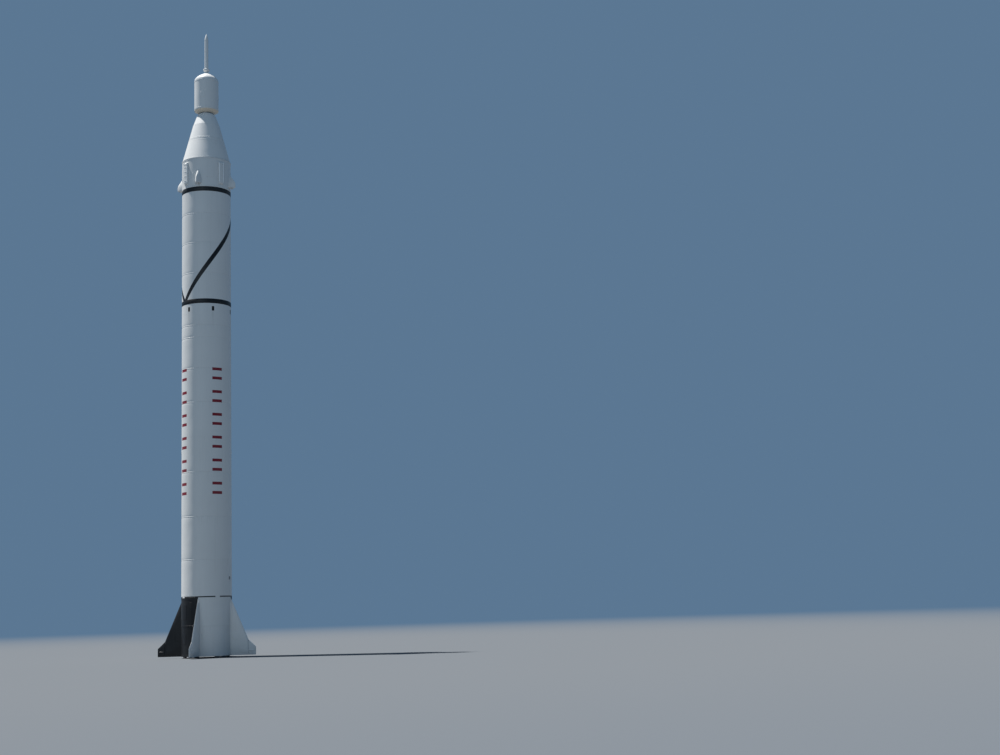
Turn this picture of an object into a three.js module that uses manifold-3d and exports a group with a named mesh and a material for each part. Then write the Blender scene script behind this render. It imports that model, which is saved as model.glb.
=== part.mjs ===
// A space rocket of the 1950s: a liquid-fuel first stage with four fins, a cone, and on it
// a spinning tub that carries the solid upper stages and a slim satellite.
// Millimetres, +Z up. The origin is the middle of the plane that the support pads stand on.
// The fins point along +X, +Y, -X and -Y.

import * as THREE from "three";
import { ConvexGeometry } from "three/addons/geometries/ConvexGeometry.js";
import { mergeVertices } from "three/addons/utils/BufferGeometryUtils.js";
import Module from "manifold-3d";

const wasm = await Module();
wasm.setup();

// Sizes of the body
const GAP = 0.3; // between pieces that touch
const ROUND_STEPS = 72; // flats around a turned piece
const BODY_RADIUS = 890;
const SKIN = 20; // wall of the tail barrel
const TOP_PLATE = 40; // thickness of the plate that closes the tail barrel

// Heights along the body
const PAD_TOP = 60;
const TAIL_JOINT = 2150;
const TAIL_GROOVE = 12; // height of the open line at the tail joint
const TAIL_GROOVE_DEPTH = 12;
const TANK_SEAM = 7860;
const LOWER_BAND = 12735;
const UPPER_BAND = 16965;
const BAND_HEIGHT = 170;
const CONE_FOOT = 18250;
const CONE_SEAM = 19120;
const CONE_SHOULDER = 19700;
const CONE_TOP = 20165;
const TUB_FOOT = 20210;
const TUB_WALL_FOOT = 20310;
const TUB_WALL_TOP = 21500;
const TUB_RIM = 21640;
const TUB_TOP = 21800;
const TIP = 23400;

// Radii above the body
const SHOULDER_RADIUS = 497;
const NECK_RADIUS = 290;
const TUB_RADIUS = 448;
const TUB_UNDERSIDE_RADIUS = 268;
const TUB_RIM_RADIUS = 360;
const SPIKE_RADIUS = 70;

// The axes of the steering shafts lie at this height, and a rudder turns about each
const SHAFT_HEIGHT = 215;
const SHAFT_RADIUS = 22;
const SHAFT_BORE = 30;

// Finishes
const finishes = {
  white: { color: 0xe9e8e2, roughness: 0.45, metalness: 0.05 },
  black: { color: 0x16171a, roughness: 0.5, metalness: 0.05 },
  steel: { color: 0x8c8f92, roughness: 0.35, metalness: 0.9 },
  graphite: { color: 0x35363a, roughness: 0.8, metalness: 0.1 },
};

const rocket = new THREE.Group();

// Adds one named piece to a group, with a material of its own
function addPiece(name, geometry, finish, parent = rocket) {
  const piece = new THREE.Mesh(geometry, new THREE.MeshStandardMaterial(finishes[finish]));
  piece.name = name;
  parent.add(piece);
  return piece;
}

// Turns an outline of [radius, height] points round the Z axis. Outside walls run upwards.
function turned(outline, steps = ROUND_STEPS) {
  const points = outline.map(([radius, height]) => new THREE.Vector2(radius, height));
  return new THREE.LatheGeometry(points, steps).rotateX(Math.PI / 2);
}

// A turned piece with no hollow: its side outline, closed to the axis at both ends
function turnedSolid(side, steps = ROUND_STEPS) {
  const bottom = side[0][1];
  const top = side[side.length - 1][1];
  return turned([[0, bottom], ...side, [0, top]], steps);
}

// A rod along X, between two distances from the rocket's axis
function rodAlongX(radius, from, to, height, steps) {
  const rod = new THREE.CylinderGeometry(radius, radius, to - from, steps);
  return rod.rotateZ(Math.PI / 2).translate((from + to) / 2, 0, height);
}

// A geometry as a solid that can be joined and cut
function solid(geometry) {
  const bare = geometry.clone();
  bare.deleteAttribute("normal");
  bare.deleteAttribute("uv");
  const merged = mergeVertices(bare, 1e-3);
  const mesh = new wasm.Mesh({
    numProp: 3,
    vertProperties: merged.attributes.position.array,
    triVerts: new Uint32Array(merged.index.array),
  });
  return new wasm.Manifold(mesh);
}

// A joined or cut solid as a geometry again
function geometryOf(body) {
  const mesh = body.getMesh();
  const geometry = new THREE.BufferGeometry();
  geometry.setAttribute("position", new THREE.BufferAttribute(mesh.vertProperties, 3));
  geometry.setIndex(new THREE.BufferAttribute(mesh.triVerts, 1));
  geometry.computeVertexNormals();
  return geometry;
}

// The body's round surface with the gap on it, between two heights: what sits on the body is cut by it
function bodyCore(from, to) {
  const radius = BODY_RADIUS + GAP;
  return solid(turnedSolid([[radius, from], [radius, to]]));
}

// Tail barrel: an open drum with a plate across its top that carries the engine
function tailBarrel() {
  const inside = BODY_RADIUS - SKIN;
  const top = TAIL_JOINT - TAIL_GROOVE / 2;
  const plate = top - TOP_PLATE;
  let barrel = solid(turned([
    [0, plate],
    [inside, plate],
    [inside, PAD_TOP],
    [BODY_RADIUS, PAD_TOP],
    [BODY_RADIUS, top],
    [0, top],
  ]));
  const reach = BODY_RADIUS + 100;
  const bore = rodAlongX(SHAFT_BORE, -reach, reach, SHAFT_HEIGHT, 16);
  barrel = barrel.subtract(solid(bore)).subtract(solid(bore.clone().rotateZ(Math.PI / 2)));
  return geometryOf(barrel);
}
addPiece("tail_barrel", tailBarrel(), "white");

// Aft ring inside the barrel's foot, with the four support pads under it
function aftRing() {
  const outside = BODY_RADIUS - SKIN - GAP;
  const inside = 800;
  const top = 150;
  const padWidth = 180;
  const padOverlap = 20; // how far a pad reaches up into the ring
  let ring = solid(turned([
    [inside, PAD_TOP],
    [outside, PAD_TOP],
    [outside, top],
    [inside, top],
    [inside, PAD_TOP],
  ]));
  const padLength = 54;
  const padMiddle = 833; // distance from the axis
  for (const degrees of [45, 135, 225, 315]) {
    const pad = new THREE.BoxGeometry(padLength, padWidth, PAD_TOP + padOverlap);
    pad.translate(padMiddle, 0, (PAD_TOP + padOverlap) / 2);
    pad.rotateZ(THREE.MathUtils.degToRad(degrees));
    ring = ring.add(solid(pad));
  }
  return geometryOf(ring);
}
addPiece("aft_ring", aftRing(), "steel");

// Heat shield: a flat plate round the nozzle
const SHIELD_FOOT = 420;
const SHIELD_THICKNESS = 15;
const SHIELD_HOLE = 445;
// Place and size of the turbine exhaust pipe, and the play round it in the shield
const EXHAUST = { x: 450, y: 300, mouth: 385, bend: 100, turn: 940, radius: 45, play: 12 };
function heatShield() {
  const plate = solid(turned([
    [SHIELD_HOLE, SHIELD_FOOT],
    [BODY_RADIUS - SKIN - GAP, SHIELD_FOOT],
    [BODY_RADIUS - SKIN - GAP, SHIELD_FOOT + SHIELD_THICKNESS],
    [SHIELD_HOLE, SHIELD_FOOT + SHIELD_THICKNESS],
    [SHIELD_HOLE, SHIELD_FOOT],
  ]));
  const radius = EXHAUST.radius + EXHAUST.play;
  const hole = new THREE.CylinderGeometry(radius, radius, 100, 24).rotateX(Math.PI / 2);
  hole.translate(EXHAUST.x, EXHAUST.y, SHIELD_FOOT);
  return geometryOf(plate.subtract(solid(hole)));
}
addPiece("heat_shield", heatShield(), "steel");

// Nozzle: a bell open at the bottom. Its radius grows with the root of the distance below the throat.
const NOZZLE_EXIT = 370;
const NOZZLE_THROAT = 870;
const NOZZLE_WALL = 15;
function nozzleBell() {
  const throatRadius = 190;
  const exitRadius = 400;
  const steps = 6;
  const inner = [];
  for (let i = 0; i <= steps; i += 1) {
    const share = i / steps;
    const radius = throatRadius + (exitRadius - throatRadius) * share;
    const height = NOZZLE_THROAT - (NOZZLE_THROAT - NOZZLE_EXIT) * share * share;
    inner.push([radius, height]);
  }
  const outer = inner.map(([radius, height]) => [radius + NOZZLE_WALL, height]).reverse();
  const neck = throatRadius + NOZZLE_WALL;
  const top = NOZZLE_THROAT + NOZZLE_WALL;
  return turned([[0, NOZZLE_THROAT], ...inner, ...outer, [neck, top], [0, top]], 36);
}
addPiece("nozzle", nozzleBell(), "steel");

// Engine: one plain block between the nozzle and the tail barrel's top plate
const ENGINE_WIDTH = 700;
function engineBlock() {
  const foot = NOZZLE_THROAT + NOZZLE_WALL + GAP;
  const top = TAIL_JOINT - TAIL_GROOVE / 2 - TOP_PLATE - GAP;
  const block = new THREE.BoxGeometry(ENGINE_WIDTH, ENGINE_WIDTH, top - foot);
  return block.translate(0, 0, (foot + top) / 2);
}
addPiece("engine_block", engineBlock(), "steel");

// Turbine exhaust: a pipe from the engine's side that bends down through the heat shield
function exhaustRoute() {
  const route = new THREE.CurvePath();
  const foot = new THREE.Vector3(EXHAUST.x, EXHAUST.y, EXHAUST.mouth);
  const turn = new THREE.Vector3(EXHAUST.x, EXHAUST.y, EXHAUST.turn);
  const corner = new THREE.Vector3(EXHAUST.x, EXHAUST.y, EXHAUST.turn + EXHAUST.bend);
  const end = new THREE.Vector3(ENGINE_WIDTH / 2 + GAP, EXHAUST.y, EXHAUST.turn + EXHAUST.bend);
  route.add(new THREE.LineCurve3(foot, turn));
  route.add(new THREE.QuadraticBezierCurve3(turn, corner, end));
  return route;
}
function exhaustPipe() {
  const section = new THREE.Shape();
  section.absarc(0, 0, EXHAUST.radius, 0, 2 * Math.PI);
  return new THREE.ExtrudeGeometry(section, { steps: 24, curveSegments: 10, extrudePath: exhaustRoute() });
}
addPiece("turbine_exhaust", exhaustPipe(), "steel");

// Sections of the blades, from the trailing edge at the foot to the leading edge at the top.
// Columns: share of the chord, share of the full thickness
const finSection = [[0, 0.42], [0.25, 1], [0.66, 1], [0.86, 0.74], [0.95, 0.46], [0.985, 0.26], [1, 0.08]];
const rudderSection = [[0, 0.4], [0.22, 1], [0.62, 1], [0.84, 0.74], [0.95, 0.46], [1, 0.1]];
const vaneSection = [[0, 0.3], [0.3, 1], [0.7, 1], [0.92, 0.6], [1, 0.3]];

// A blade that stands in the XZ plane: its inner and outer chords, each as
// [distance from the axis, foot, top, thickness], are joined straight
function blade(inner, outer, section) {
  const points = [];
  for (const [distance, foot, top, thickness] of [inner, outer]) {
    for (const [chordShare, thicknessShare] of section) {
      const height = foot + chordShare * (top - foot);
      const side = (thickness / 2) * thicknessShare;
      points.push(new THREE.Vector3(distance, side, height));
      points.push(new THREE.Vector3(distance, -side, height));
    }
  }
  return new ConvexGeometry(points);
}

// Fins, with the rudder at each tip. The rudder's shaft runs through the fin to a jet vane
// under the nozzle, and the three turn together.
const FIN_FOOT = 60;
const FIN_TOP = 2100;
const FIN_REACH = 660; // beyond the body
const FIN_SLOPE = 0.44; // how far the leading edge runs out for each unit down
const FIN_TIP = BODY_RADIUS + FIN_REACH;
const FIN_TIP_TOP = FIN_TOP - FIN_REACH / FIN_SLOPE;
const RUDDER_CLEARANCE = 8;
const RUDDER_WIDTH = 262;
const VANE_INNER = 110;
const VANE_OUTER = 330;

function fin() {
  const buried = 20; // how far the blade starts inside the body before it is cut to it
  const root = [BODY_RADIUS - buried, FIN_FOOT, FIN_TOP + buried / FIN_SLOPE, 130];
  const tip = [FIN_TIP, FIN_FOOT, FIN_TIP_TOP, 84];
  const bore = rodAlongX(SHAFT_BORE, BODY_RADIUS - 50, FIN_TIP + 50, SHAFT_HEIGHT, 24);
  const plate = solid(blade(root, tip, finSection));
  return geometryOf(plate.subtract(bodyCore(0, TAIL_JOINT + 100)).subtract(solid(bore)));
}

function rudder() {
  const root = FIN_TIP + RUDDER_CLEARANCE;
  const inner = [root, FIN_FOOT, FIN_TIP_TOP - 15, 80];
  const outer = [root + RUDDER_WIDTH, FIN_FOOT, 350, 40];
  const shaft = rodAlongX(SHAFT_RADIUS, VANE_OUTER + GAP, root + 80, SHAFT_HEIGHT, 24);
  return geometryOf(solid(blade(inner, outer, rudderSection)).add(solid(shaft)));
}

function jetVane() {
  const foot = SHAFT_HEIGHT - 150;
  const top = SHAFT_HEIGHT + 120;
  const inner = [VANE_INNER, foot + 30, top, 26];
  const outer = [VANE_OUTER, foot, top, 34];
  return blade(inner, outer, vaneSection);
}

for (const [index, degrees] of [0, 90, 180, 270].entries()) {
  const arm = new THREE.Group();
  arm.rotation.z = THREE.MathUtils.degToRad(degrees);
  rocket.add(arm);
  addPiece(`fin_${index + 1}`, fin(), "white", arm);
  addPiece(`rudder_${index + 1}`, rudder(), "white", arm);
  addPiece(`jet_vane_${index + 1}`, jetVane(), "graphite", arm);
}

// Lower tank, with a spigot that leaves an open line above the tail barrel
function lowerTank() {
  const foot = TAIL_JOINT - TAIL_GROOVE / 2 + GAP;
  const spigot = BODY_RADIUS - TAIL_GROOVE_DEPTH;
  const shoulder = TAIL_JOINT + TAIL_GROOVE / 2;
  return turnedSolid([
    [spigot, foot],
    [spigot, shoulder],
    [BODY_RADIUS, shoulder],
    [BODY_RADIUS, TANK_SEAM],
  ]);
}
addPiece("lower_tank", lowerTank(), "white");

// Middle tank, with six small pockets below the lower band
function middleTank() {
  const slotHeight = 12540;
  const slotSize = { deep: 40, wide: 83, tall: 160 };
  const firstSlot = 4.7;
  const slots = 6;
  let tank = solid(turnedSolid([
    [BODY_RADIUS, TANK_SEAM + GAP],
    [BODY_RADIUS, LOWER_BAND - GAP],
  ]));
  for (let i = 0; i < slots; i += 1) {
    const slot = new THREE.BoxGeometry(2 * slotSize.deep, slotSize.wide, slotSize.tall);
    slot.translate(BODY_RADIUS, 0, slotHeight);
    slot.rotateZ(THREE.MathUtils.degToRad(firstSlot + (360 / slots) * i));
    tank = tank.subtract(solid(slot));
  }
  return geometryOf(tank);
}
addPiece("middle_tank", middleTank(), "white");

// The plain turned sections above it. Columns: name, finish, foot, top, radius at the foot, radius at the top
const CONE_SEAM_RADIUS = BODY_RADIUS
  - ((BODY_RADIUS - SHOULDER_RADIUS) * (CONE_SEAM - CONE_FOOT)) / (CONE_SHOULDER - CONE_FOOT);
const plainSections = [
  ["lower_band_ring", "black", LOWER_BAND, LOWER_BAND + BAND_HEIGHT, BODY_RADIUS, BODY_RADIUS],
  ["upper_tank", "white", LOWER_BAND + BAND_HEIGHT, UPPER_BAND, BODY_RADIUS, BODY_RADIUS],
  ["upper_band_ring", "black", UPPER_BAND, UPPER_BAND + BAND_HEIGHT, BODY_RADIUS, BODY_RADIUS],
  ["instrument_bay", "white", UPPER_BAND + BAND_HEIGHT, CONE_FOOT, BODY_RADIUS, BODY_RADIUS],
  ["lower_cone", "white", CONE_FOOT, CONE_SEAM, BODY_RADIUS, CONE_SEAM_RADIUS],
];
for (const [name, finish, foot, top, footRadius, topRadius] of plainSections) {
  addPiece(name, turnedSolid([[footRadius, foot], [topRadius, top - GAP]]), finish);
}

// Upper cone with its rounded shoulder, and a pocket in its top for the tub's shaft
const POCKET_RADIUS = 112;
const POCKET_FOOT = 19960;
function upperCone() {
  return turned([
    [0, CONE_SEAM],
    [CONE_SEAM_RADIUS, CONE_SEAM],
    [SHOULDER_RADIUS, CONE_SHOULDER],
    [440, 19850],
    [403, 19950],
    [365, 20050],
    [335, 20110],
    [NECK_RADIUS + 10, CONE_TOP],
    [POCKET_RADIUS, CONE_TOP],
    [POCKET_RADIUS, POCKET_FOOT],
    [0, POCKET_FOOT],
  ]);
}
addPiece("upper_cone", upperCone(), "white");

// Hoods over the steering jets, in line with the fins: sloped, rounded outwards, flat below, each with a
// small nozzle that looks down.
// Columns: height, reach beyond the body, half width
const hoodLevels = [
  [17250, 190, 130],
  [17300, 225, 148],
  [17460, 232, 148],
  [17570, 190, 135],
  [17680, 105, 110],
  [17780, 5, 70],
];
const JET = { neck: 26, mouth: 38, length: 60, buried: 20, reach: 115 };
// The body behind the hoods and the ducts
const bayCore = () => bodyCore(UPPER_BAND, CONE_FOOT);
function jetHood() {
  const arcSteps = 8;
  const rootDepth = 60; // how far the hood's back starts inside the body before it is cut
  const points = [];
  for (const [height, reach, halfWidth] of hoodLevels) {
    points.push(new THREE.Vector3(BODY_RADIUS - rootDepth, -halfWidth, height));
    points.push(new THREE.Vector3(BODY_RADIUS - rootDepth, halfWidth, height));
    for (let i = 0; i <= arcSteps; i += 1) {
      const angle = (Math.PI * i) / arcSteps;
      const across = halfWidth * Math.cos(angle);
      points.push(new THREE.Vector3(BODY_RADIUS + reach * Math.sin(angle), across, height));
    }
  }
  const hood = solid(new ConvexGeometry(points)).subtract(bayCore());
  const jet = new THREE.CylinderGeometry(JET.neck, JET.mouth, JET.length, 20).rotateX(Math.PI / 2);
  jet.translate(BODY_RADIUS + JET.reach, 0, hoodLevels[0][0] - JET.length / 2 + JET.buried);
  return geometryOf(hood.add(solid(jet)));
}
for (const [index, degrees] of [0, 90, 180, 270].entries()) {
  const piece = addPiece(`jet_hood_${index + 1}`, jetHood(), "white");
  piece.rotation.z = THREE.MathUtils.degToRad(degrees);
}

// Raised ducts between the fairings, with a rounded face and sloped ends
const FIRST_DUCT = 55; // degrees from +X
function duct(degrees) {
  const foot = 17270;
  const top = 18110;
  const halfWidth = 98;
  const reach = 62;
  const slope = 60; // height of each sloped end
  const endReach = 0.35; // share of the reach that is left at the ends
  const rootDepth = 40;
  const arcSteps = 6;
  const points = [];
  for (const [height, level] of [[foot, endReach], [foot + slope, 1], [top - slope, 1], [top, endReach]]) {
    points.push(new THREE.Vector3(BODY_RADIUS - rootDepth, -halfWidth, height));
    points.push(new THREE.Vector3(BODY_RADIUS - rootDepth, halfWidth, height));
    for (let i = 0; i <= arcSteps; i += 1) {
      const angle = (Math.PI * i) / arcSteps;
      const out = BODY_RADIUS + reach * level * Math.sin(angle) ** 0.5;
      points.push(new THREE.Vector3(out, halfWidth * Math.cos(angle), height));
    }
  }
  const cover = new ConvexGeometry(points).rotateZ(THREE.MathUtils.degToRad(degrees));
  return geometryOf(solid(cover).subtract(bayCore()));
}
for (let i = 0; i < 4; i += 1) {
  addPiece(`duct_${i + 1}`, duct(FIRST_DUCT + 90 * i), "white");
}

// Bearing ring on the cone, which the tub's shaft turns in
const BEARING_BORE = 106;
const BEARING_TOP = TUB_FOOT - 6;
addPiece(
  "bearing_ring",
  turned([
    [BEARING_BORE, CONE_TOP + GAP],
    [NECK_RADIUS, CONE_TOP + GAP],
    [NECK_RADIUS, BEARING_TOP],
    [BEARING_BORE, BEARING_TOP],
    [BEARING_BORE, CONE_TOP + GAP],
  ]),
  "steel",
);

// Spinning tub: its shaft, sloped underside, wall and sloped rim are one turned piece.
// The motors of the middle stages are closed in it.
const spinner = new THREE.Group();
rocket.add(spinner);
const TUB_SHAFT_RADIUS = 100;
const TUB_SHAFT_FOOT = POCKET_FOOT + 12;
addPiece(
  "tub",
  turnedSolid([
    [TUB_SHAFT_RADIUS, TUB_SHAFT_FOOT],
    [TUB_SHAFT_RADIUS, TUB_FOOT],
    [TUB_UNDERSIDE_RADIUS, TUB_FOOT],
    [TUB_RADIUS, TUB_WALL_FOOT],
    [TUB_RADIUS, TUB_WALL_TOP],
    [435, 21550],
    [TUB_RIM_RADIUS, TUB_RIM],
  ]),
  "white",
  spinner,
);

// Its cap: a shallow dome that rises fastest at its rim and levels off towards the collar
function capOutline() {
  const steps = 6;
  const collarRadius = 80;
  const roundness = 1.35; // 1 would make the cap a plain cone
  const outline = [];
  for (let i = 0; i <= steps; i += 1) {
    const share = i / steps;
    const radius = TUB_RIM_RADIUS - (TUB_RIM_RADIUS - collarRadius) * share;
    const rise = (TUB_TOP - TUB_RIM - GAP) * (1 - (1 - share) ** roundness);
    outline.push([radius, TUB_RIM + GAP + rise]);
  }
  return outline;
}
addPiece("tub_cap", turnedSolid(capOutline()), "white", spinner);

// Last stage and satellite on top of the tub
const COLLAR_TOP = 21990;
const MOTOR_TOP = 22760;
const NOSE_FOOT = 23120;

// The nose narrows with the square of the height
function noseOutline() {
  const steps = 8;
  const blunt = 4; // radius of its tip
  const outline = [];
  for (let i = 0; i <= steps; i += 1) {
    const share = i / steps;
    const radius = blunt + (SPIKE_RADIUS - blunt) * (1 - share ** 2);
    outline.push([radius, NOSE_FOOT + GAP + (TIP - NOSE_FOOT - GAP) * share]);
  }
  return outline;
}

const supportOutline = [
  [95, TUB_TOP + GAP],
  [72, 21840],
  [72, 21890],
  [112, 21915],
  [120, 21975],
  [96, COLLAR_TOP],
];

// Columns: name, outline of radius and height
const spikePieces = [
  ["stage_support", supportOutline],
  ["last_stage", [[SPIKE_RADIUS, COLLAR_TOP + GAP], [SPIKE_RADIUS, MOTOR_TOP]]],
  ["satellite_body", [[SPIKE_RADIUS, MOTOR_TOP + GAP], [SPIKE_RADIUS, NOSE_FOOT]]],
  ["satellite_nose", noseOutline()],
];
for (const [name, outline] of spikePieces) {
  addPiece(name, turnedSolid(outline, 36), "white", spinner);
}

export default rocket;
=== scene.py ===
"""A tall satellite launch rocket: a painted liquid-fuel stage with fins, a cone, and a spinning tub."""

import math

import bmesh
import bpy
import numpy as np
from mathutils import Matrix, Vector


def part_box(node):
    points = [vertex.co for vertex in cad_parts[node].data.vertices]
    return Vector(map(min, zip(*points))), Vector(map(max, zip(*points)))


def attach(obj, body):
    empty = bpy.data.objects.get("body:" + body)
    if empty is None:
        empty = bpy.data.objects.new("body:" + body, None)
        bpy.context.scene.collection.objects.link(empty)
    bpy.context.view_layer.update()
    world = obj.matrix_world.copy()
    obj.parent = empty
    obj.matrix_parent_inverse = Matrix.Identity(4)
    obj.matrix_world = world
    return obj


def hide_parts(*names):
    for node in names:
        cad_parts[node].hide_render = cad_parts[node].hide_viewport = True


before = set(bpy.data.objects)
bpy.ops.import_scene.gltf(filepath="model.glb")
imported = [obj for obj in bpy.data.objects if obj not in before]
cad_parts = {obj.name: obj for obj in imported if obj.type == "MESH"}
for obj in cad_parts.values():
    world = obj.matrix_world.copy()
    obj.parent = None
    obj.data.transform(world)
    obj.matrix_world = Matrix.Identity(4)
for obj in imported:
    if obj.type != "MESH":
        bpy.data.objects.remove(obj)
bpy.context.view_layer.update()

# Camera. It stands 54 m from the rocket at the height of a person's eye. It is turned to the right,
# so that the rocket is at the left of the frame, and tilted up towards its tip.
CAMERA_DISTANCE = 54.0
CAMERA_HEIGHT = 1.445
CAMERA_AZIMUTH = 19.5  # degrees, from the -Y fin towards the +X fin
CAMERA_YAW = 11.518  # degrees to the right of the rocket's axis
CAMERA_PITCH = 8.944
CAMERA_ROLL = -1.836
CAMERA_LENS = 52.504  # millimetres, on a sensor 36 mm wide


def place_camera():
    """The camera first looks along +Y. Roll, pitch and heading turn it, in this order."""
    azimuth = math.radians(CAMERA_AZIMUTH)
    turn = (
        Matrix.Rotation(math.radians(CAMERA_AZIMUTH - CAMERA_YAW), 4, "Z")
        @ Matrix.Rotation(math.radians(90 + CAMERA_PITCH), 4, "X")
        @ Matrix.Rotation(math.radians(CAMERA_ROLL), 4, "Z")
    )
    stand = Vector((math.sin(azimuth), -math.cos(azimuth), 0)) * CAMERA_DISTANCE
    stand.z = CAMERA_HEIGHT
    data = bpy.data.cameras.new("camera")
    data.sensor_width = 36
    data.lens = CAMERA_LENS
    data.clip_end = 1000
    camera = bpy.data.objects.new("camera", data)
    camera.matrix_world = Matrix.Translation(stand) @ turn
    bpy.context.scene.collection.objects.link(camera)
    bpy.context.scene.camera = camera


place_camera()

# Tail barrel: an open drum of welded sheet with a plate across its top, which carries the engine.
# It is enamelled in white and black quarters that change at the fins. Inside run ring frames, and
# bands stand out at its foot, its middle and the joint to the tank.
BODY_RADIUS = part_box("lower_band_ring")[1].x
BARREL_SKIN = 0.02
BARREL_PLATE = 0.04
ROUND_STEPS = 240
WHITE = (0.64, 0.64, 0.627, 1)
BLACK = (0.006, 0.0065, 0.0075, 1)
GRIME_AND_SEAM_SHADE = (0.30, 0.285, 0.255, 1)
PRIMER = (0.21, 0.16, 0.125, 1)
CHALK = (0.56, 0.56, 0.545, 1)


def levels_of(node):
    """Heights of a node's lowest and highest points."""
    return [corner.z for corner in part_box(node)]


def circle(steps):
    """Even angles round a circle."""
    return np.linspace(0, 2 * np.pi, steps, endpoint=False)


def points_of(*coordinates):
    """Points from their two or three coordinates, which are stretched to one shape."""
    return np.stack(np.broadcast_arrays(*coordinates), axis=-1)


def turned(profile, steps=ROUND_STEPS):
    """Rows of points round the Z axis, each the circle that one row of the profile gives."""
    radius, height = np.asarray(profile, float).T[:, :, None]
    return points_of(radius * np.cos(circle(steps)), radius * np.sin(circle(steps)), height)


def shell(points, ring=False):
    """Vertices, quads and triangles of a closed skin over rows of points that run round.

    Quads join each row to the next. A fan of triangles closes each end at the middle of its row,
    or, where the rows make a ring, quads join the last row to the first.
    """
    rows, columns = points.shape[:2]
    index = np.arange(rows * columns).reshape(rows, columns)
    lower = index if ring else index[:-1]
    upper = np.roll(index, -1, axis=0) if ring else index[1:]
    corners = [lower, np.roll(lower, -1, axis=1), np.roll(upper, -1, axis=1), upper]
    quads = np.stack(corners, axis=-1).reshape(-1, 4)
    vertices = points.reshape(-1, 3)
    if ring:
        return vertices, quads, np.empty((0, 3), int)
    start = points_of(rows * columns, np.roll(index[0], -1), index[0])
    end = points_of(rows * columns + 1, index[-1], np.roll(index[-1], -1))
    middles = points[[0, -1]].mean(axis=1)
    return np.concatenate([vertices, middles]), quads, np.concatenate([start, end])


def turned_about(skin, degrees):
    """A skin turned round the Z axis."""
    vertices, quads, triangles = skin
    cosine, sine = math.cos(math.radians(degrees)), math.sin(math.radians(degrees))
    return vertices @ np.array([[cosine, sine, 0], [-sine, cosine, 0], [0, 0, 1]]), quads, triangles


def make_piece(name, skins, finish, turn=0):
    """One object from skins, turned by degrees. Its faces look outwards, and its edges are sharp
    past 35 degrees."""
    vertices, faces, count = [], [], 0
    for skin in skins:
        points, quads, triangles = turned_about(skin, turn)
        vertices += points.tolist()
        faces += (quads + count).tolist() + (triangles + count).tolist()
        count += len(points)
    mesh = bpy.data.meshes.new(name)
    mesh.from_pydata(vertices, [], faces)
    work = bmesh.new()
    work.from_mesh(mesh)
    bmesh.ops.recalc_face_normals(work, faces=work.faces)
    work.to_mesh(mesh)
    work.free()
    mesh.shade_smooth()
    mesh.set_sharp_from_angle(angle=math.radians(35))
    mesh.materials.append(finish)
    piece = bpy.data.objects.new(name, mesh)
    bpy.context.scene.collection.objects.link(piece)
    return piece


class Signal:
    """A number, colour or vector that changes over a surface. Sums and products add Math nodes."""

    def __init__(self, finish, socket):
        self.finish = finish
        self.socket = socket

    def __add__(self, other):
        return self.finish.math("ADD", self, other)

    def __sub__(self, other):
        return self.finish.math("SUBTRACT", self, other)

    def __rsub__(self, other):
        return self.finish.math("SUBTRACT", other, self)

    def __mul__(self, other):
        return self.finish.math("MULTIPLY", self, other)

    def __truediv__(self, other):
        return self.finish.math("DIVIDE", self, other)

    def __abs__(self):
        return self.finish.math("ABSOLUTE", self)

    __radd__ = __add__
    __rmul__ = __mul__


class Finish:
    """A procedural material. Its place on the surface is x, y, z in metres and the angle round Z."""

    def __init__(self, name):
        self.material = bpy.data.materials.new(name)
        self.material.use_nodes = True
        self.tree = self.material.node_tree
        self.tree.nodes.clear()
        self.place = self.node("TexCoord", {}, {}, "Object")
        split = self.node("SeparateXYZ", {}, {0: self.place}).socket.node
        self.x, self.y, self.z = (Signal(self, output) for output in split.outputs)
        self.angle = self.math("ARCTAN2", self.y, self.x)

    def node(self, kind, settings, sockets, output=0):
        """Adds one node: its settings first, then numbers or links into its sockets."""
        made = self.tree.nodes.new("ShaderNode" + kind)
        for name, value in settings.items():
            setattr(made, name, value)
        for name, value in sockets.items():
            if isinstance(value, Signal):
                self.tree.links.new(value.socket, made.inputs[name])
            else:
                made.inputs[name].default_value = value
        return None if output is None else Signal(self, made.outputs[output])

    def math(self, operation, *values):
        """Adds a Math node for one operation on numbers."""
        return self.node("Math", {"operation": operation}, dict(enumerate(values)))

    def mix(self, first, second, share):
        """The first colour where share is 0, the second where it is 1."""
        return self.node("Mix", {"data_type": "RGBA"}, {0: share, 6: first, 7: second}, 2)

    def step(self, signal, low, high):
        """0 up to low, 1 from high on, and smooth between."""
        limits = {"Value": signal, "From Min": low, "From Max": high}
        return self.node("MapRange", {"interpolation_type": "SMOOTHSTEP"}, limits)

    def near(self, signal, half, soft=0.002):
        """1 where the signal is within half of 0, and 0 outside, with edges twice soft wide."""
        return self.step(abs(signal), half + soft, half - soft)

    def noise(self, scale, detail=4.0, stretch=(1, 1, 1), turbulence=0.55):
        """Soft cloudy noise from 0 to 1, with scale features to the metre along each axis."""
        scaled = [scale * share for share in stretch]
        place = self.node("VectorMath", {"operation": "MULTIPLY"}, {0: self.place, 1: scaled})
        sockets = {"Vector": place, "Scale": 1.0, "Detail": detail, "Roughness": turbulence}
        return self.node("TexNoise", {}, sockets)

    def surface(self, colour, roughness, height, **others):
        """Ends the material. The height, in metres, becomes bump."""
        bump = self.node("Bump", {}, {"Height": height, "Distance": 1.0, "Strength": 1.0})
        sockets = {"Base Color": colour, "Roughness": roughness, "Normal": bump, **others}
        body = self.node("BsdfPrincipled", {}, sockets, "BSDF")
        self.node("OutputMaterial", {}, {"Surface": body}, None)
        return self.material


def quarters(finish):
    """1 in the two opposite quarters where x and y have the same sign."""
    return finish.step(finish.x * finish.y, -0.0004, 0.0004)


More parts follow.
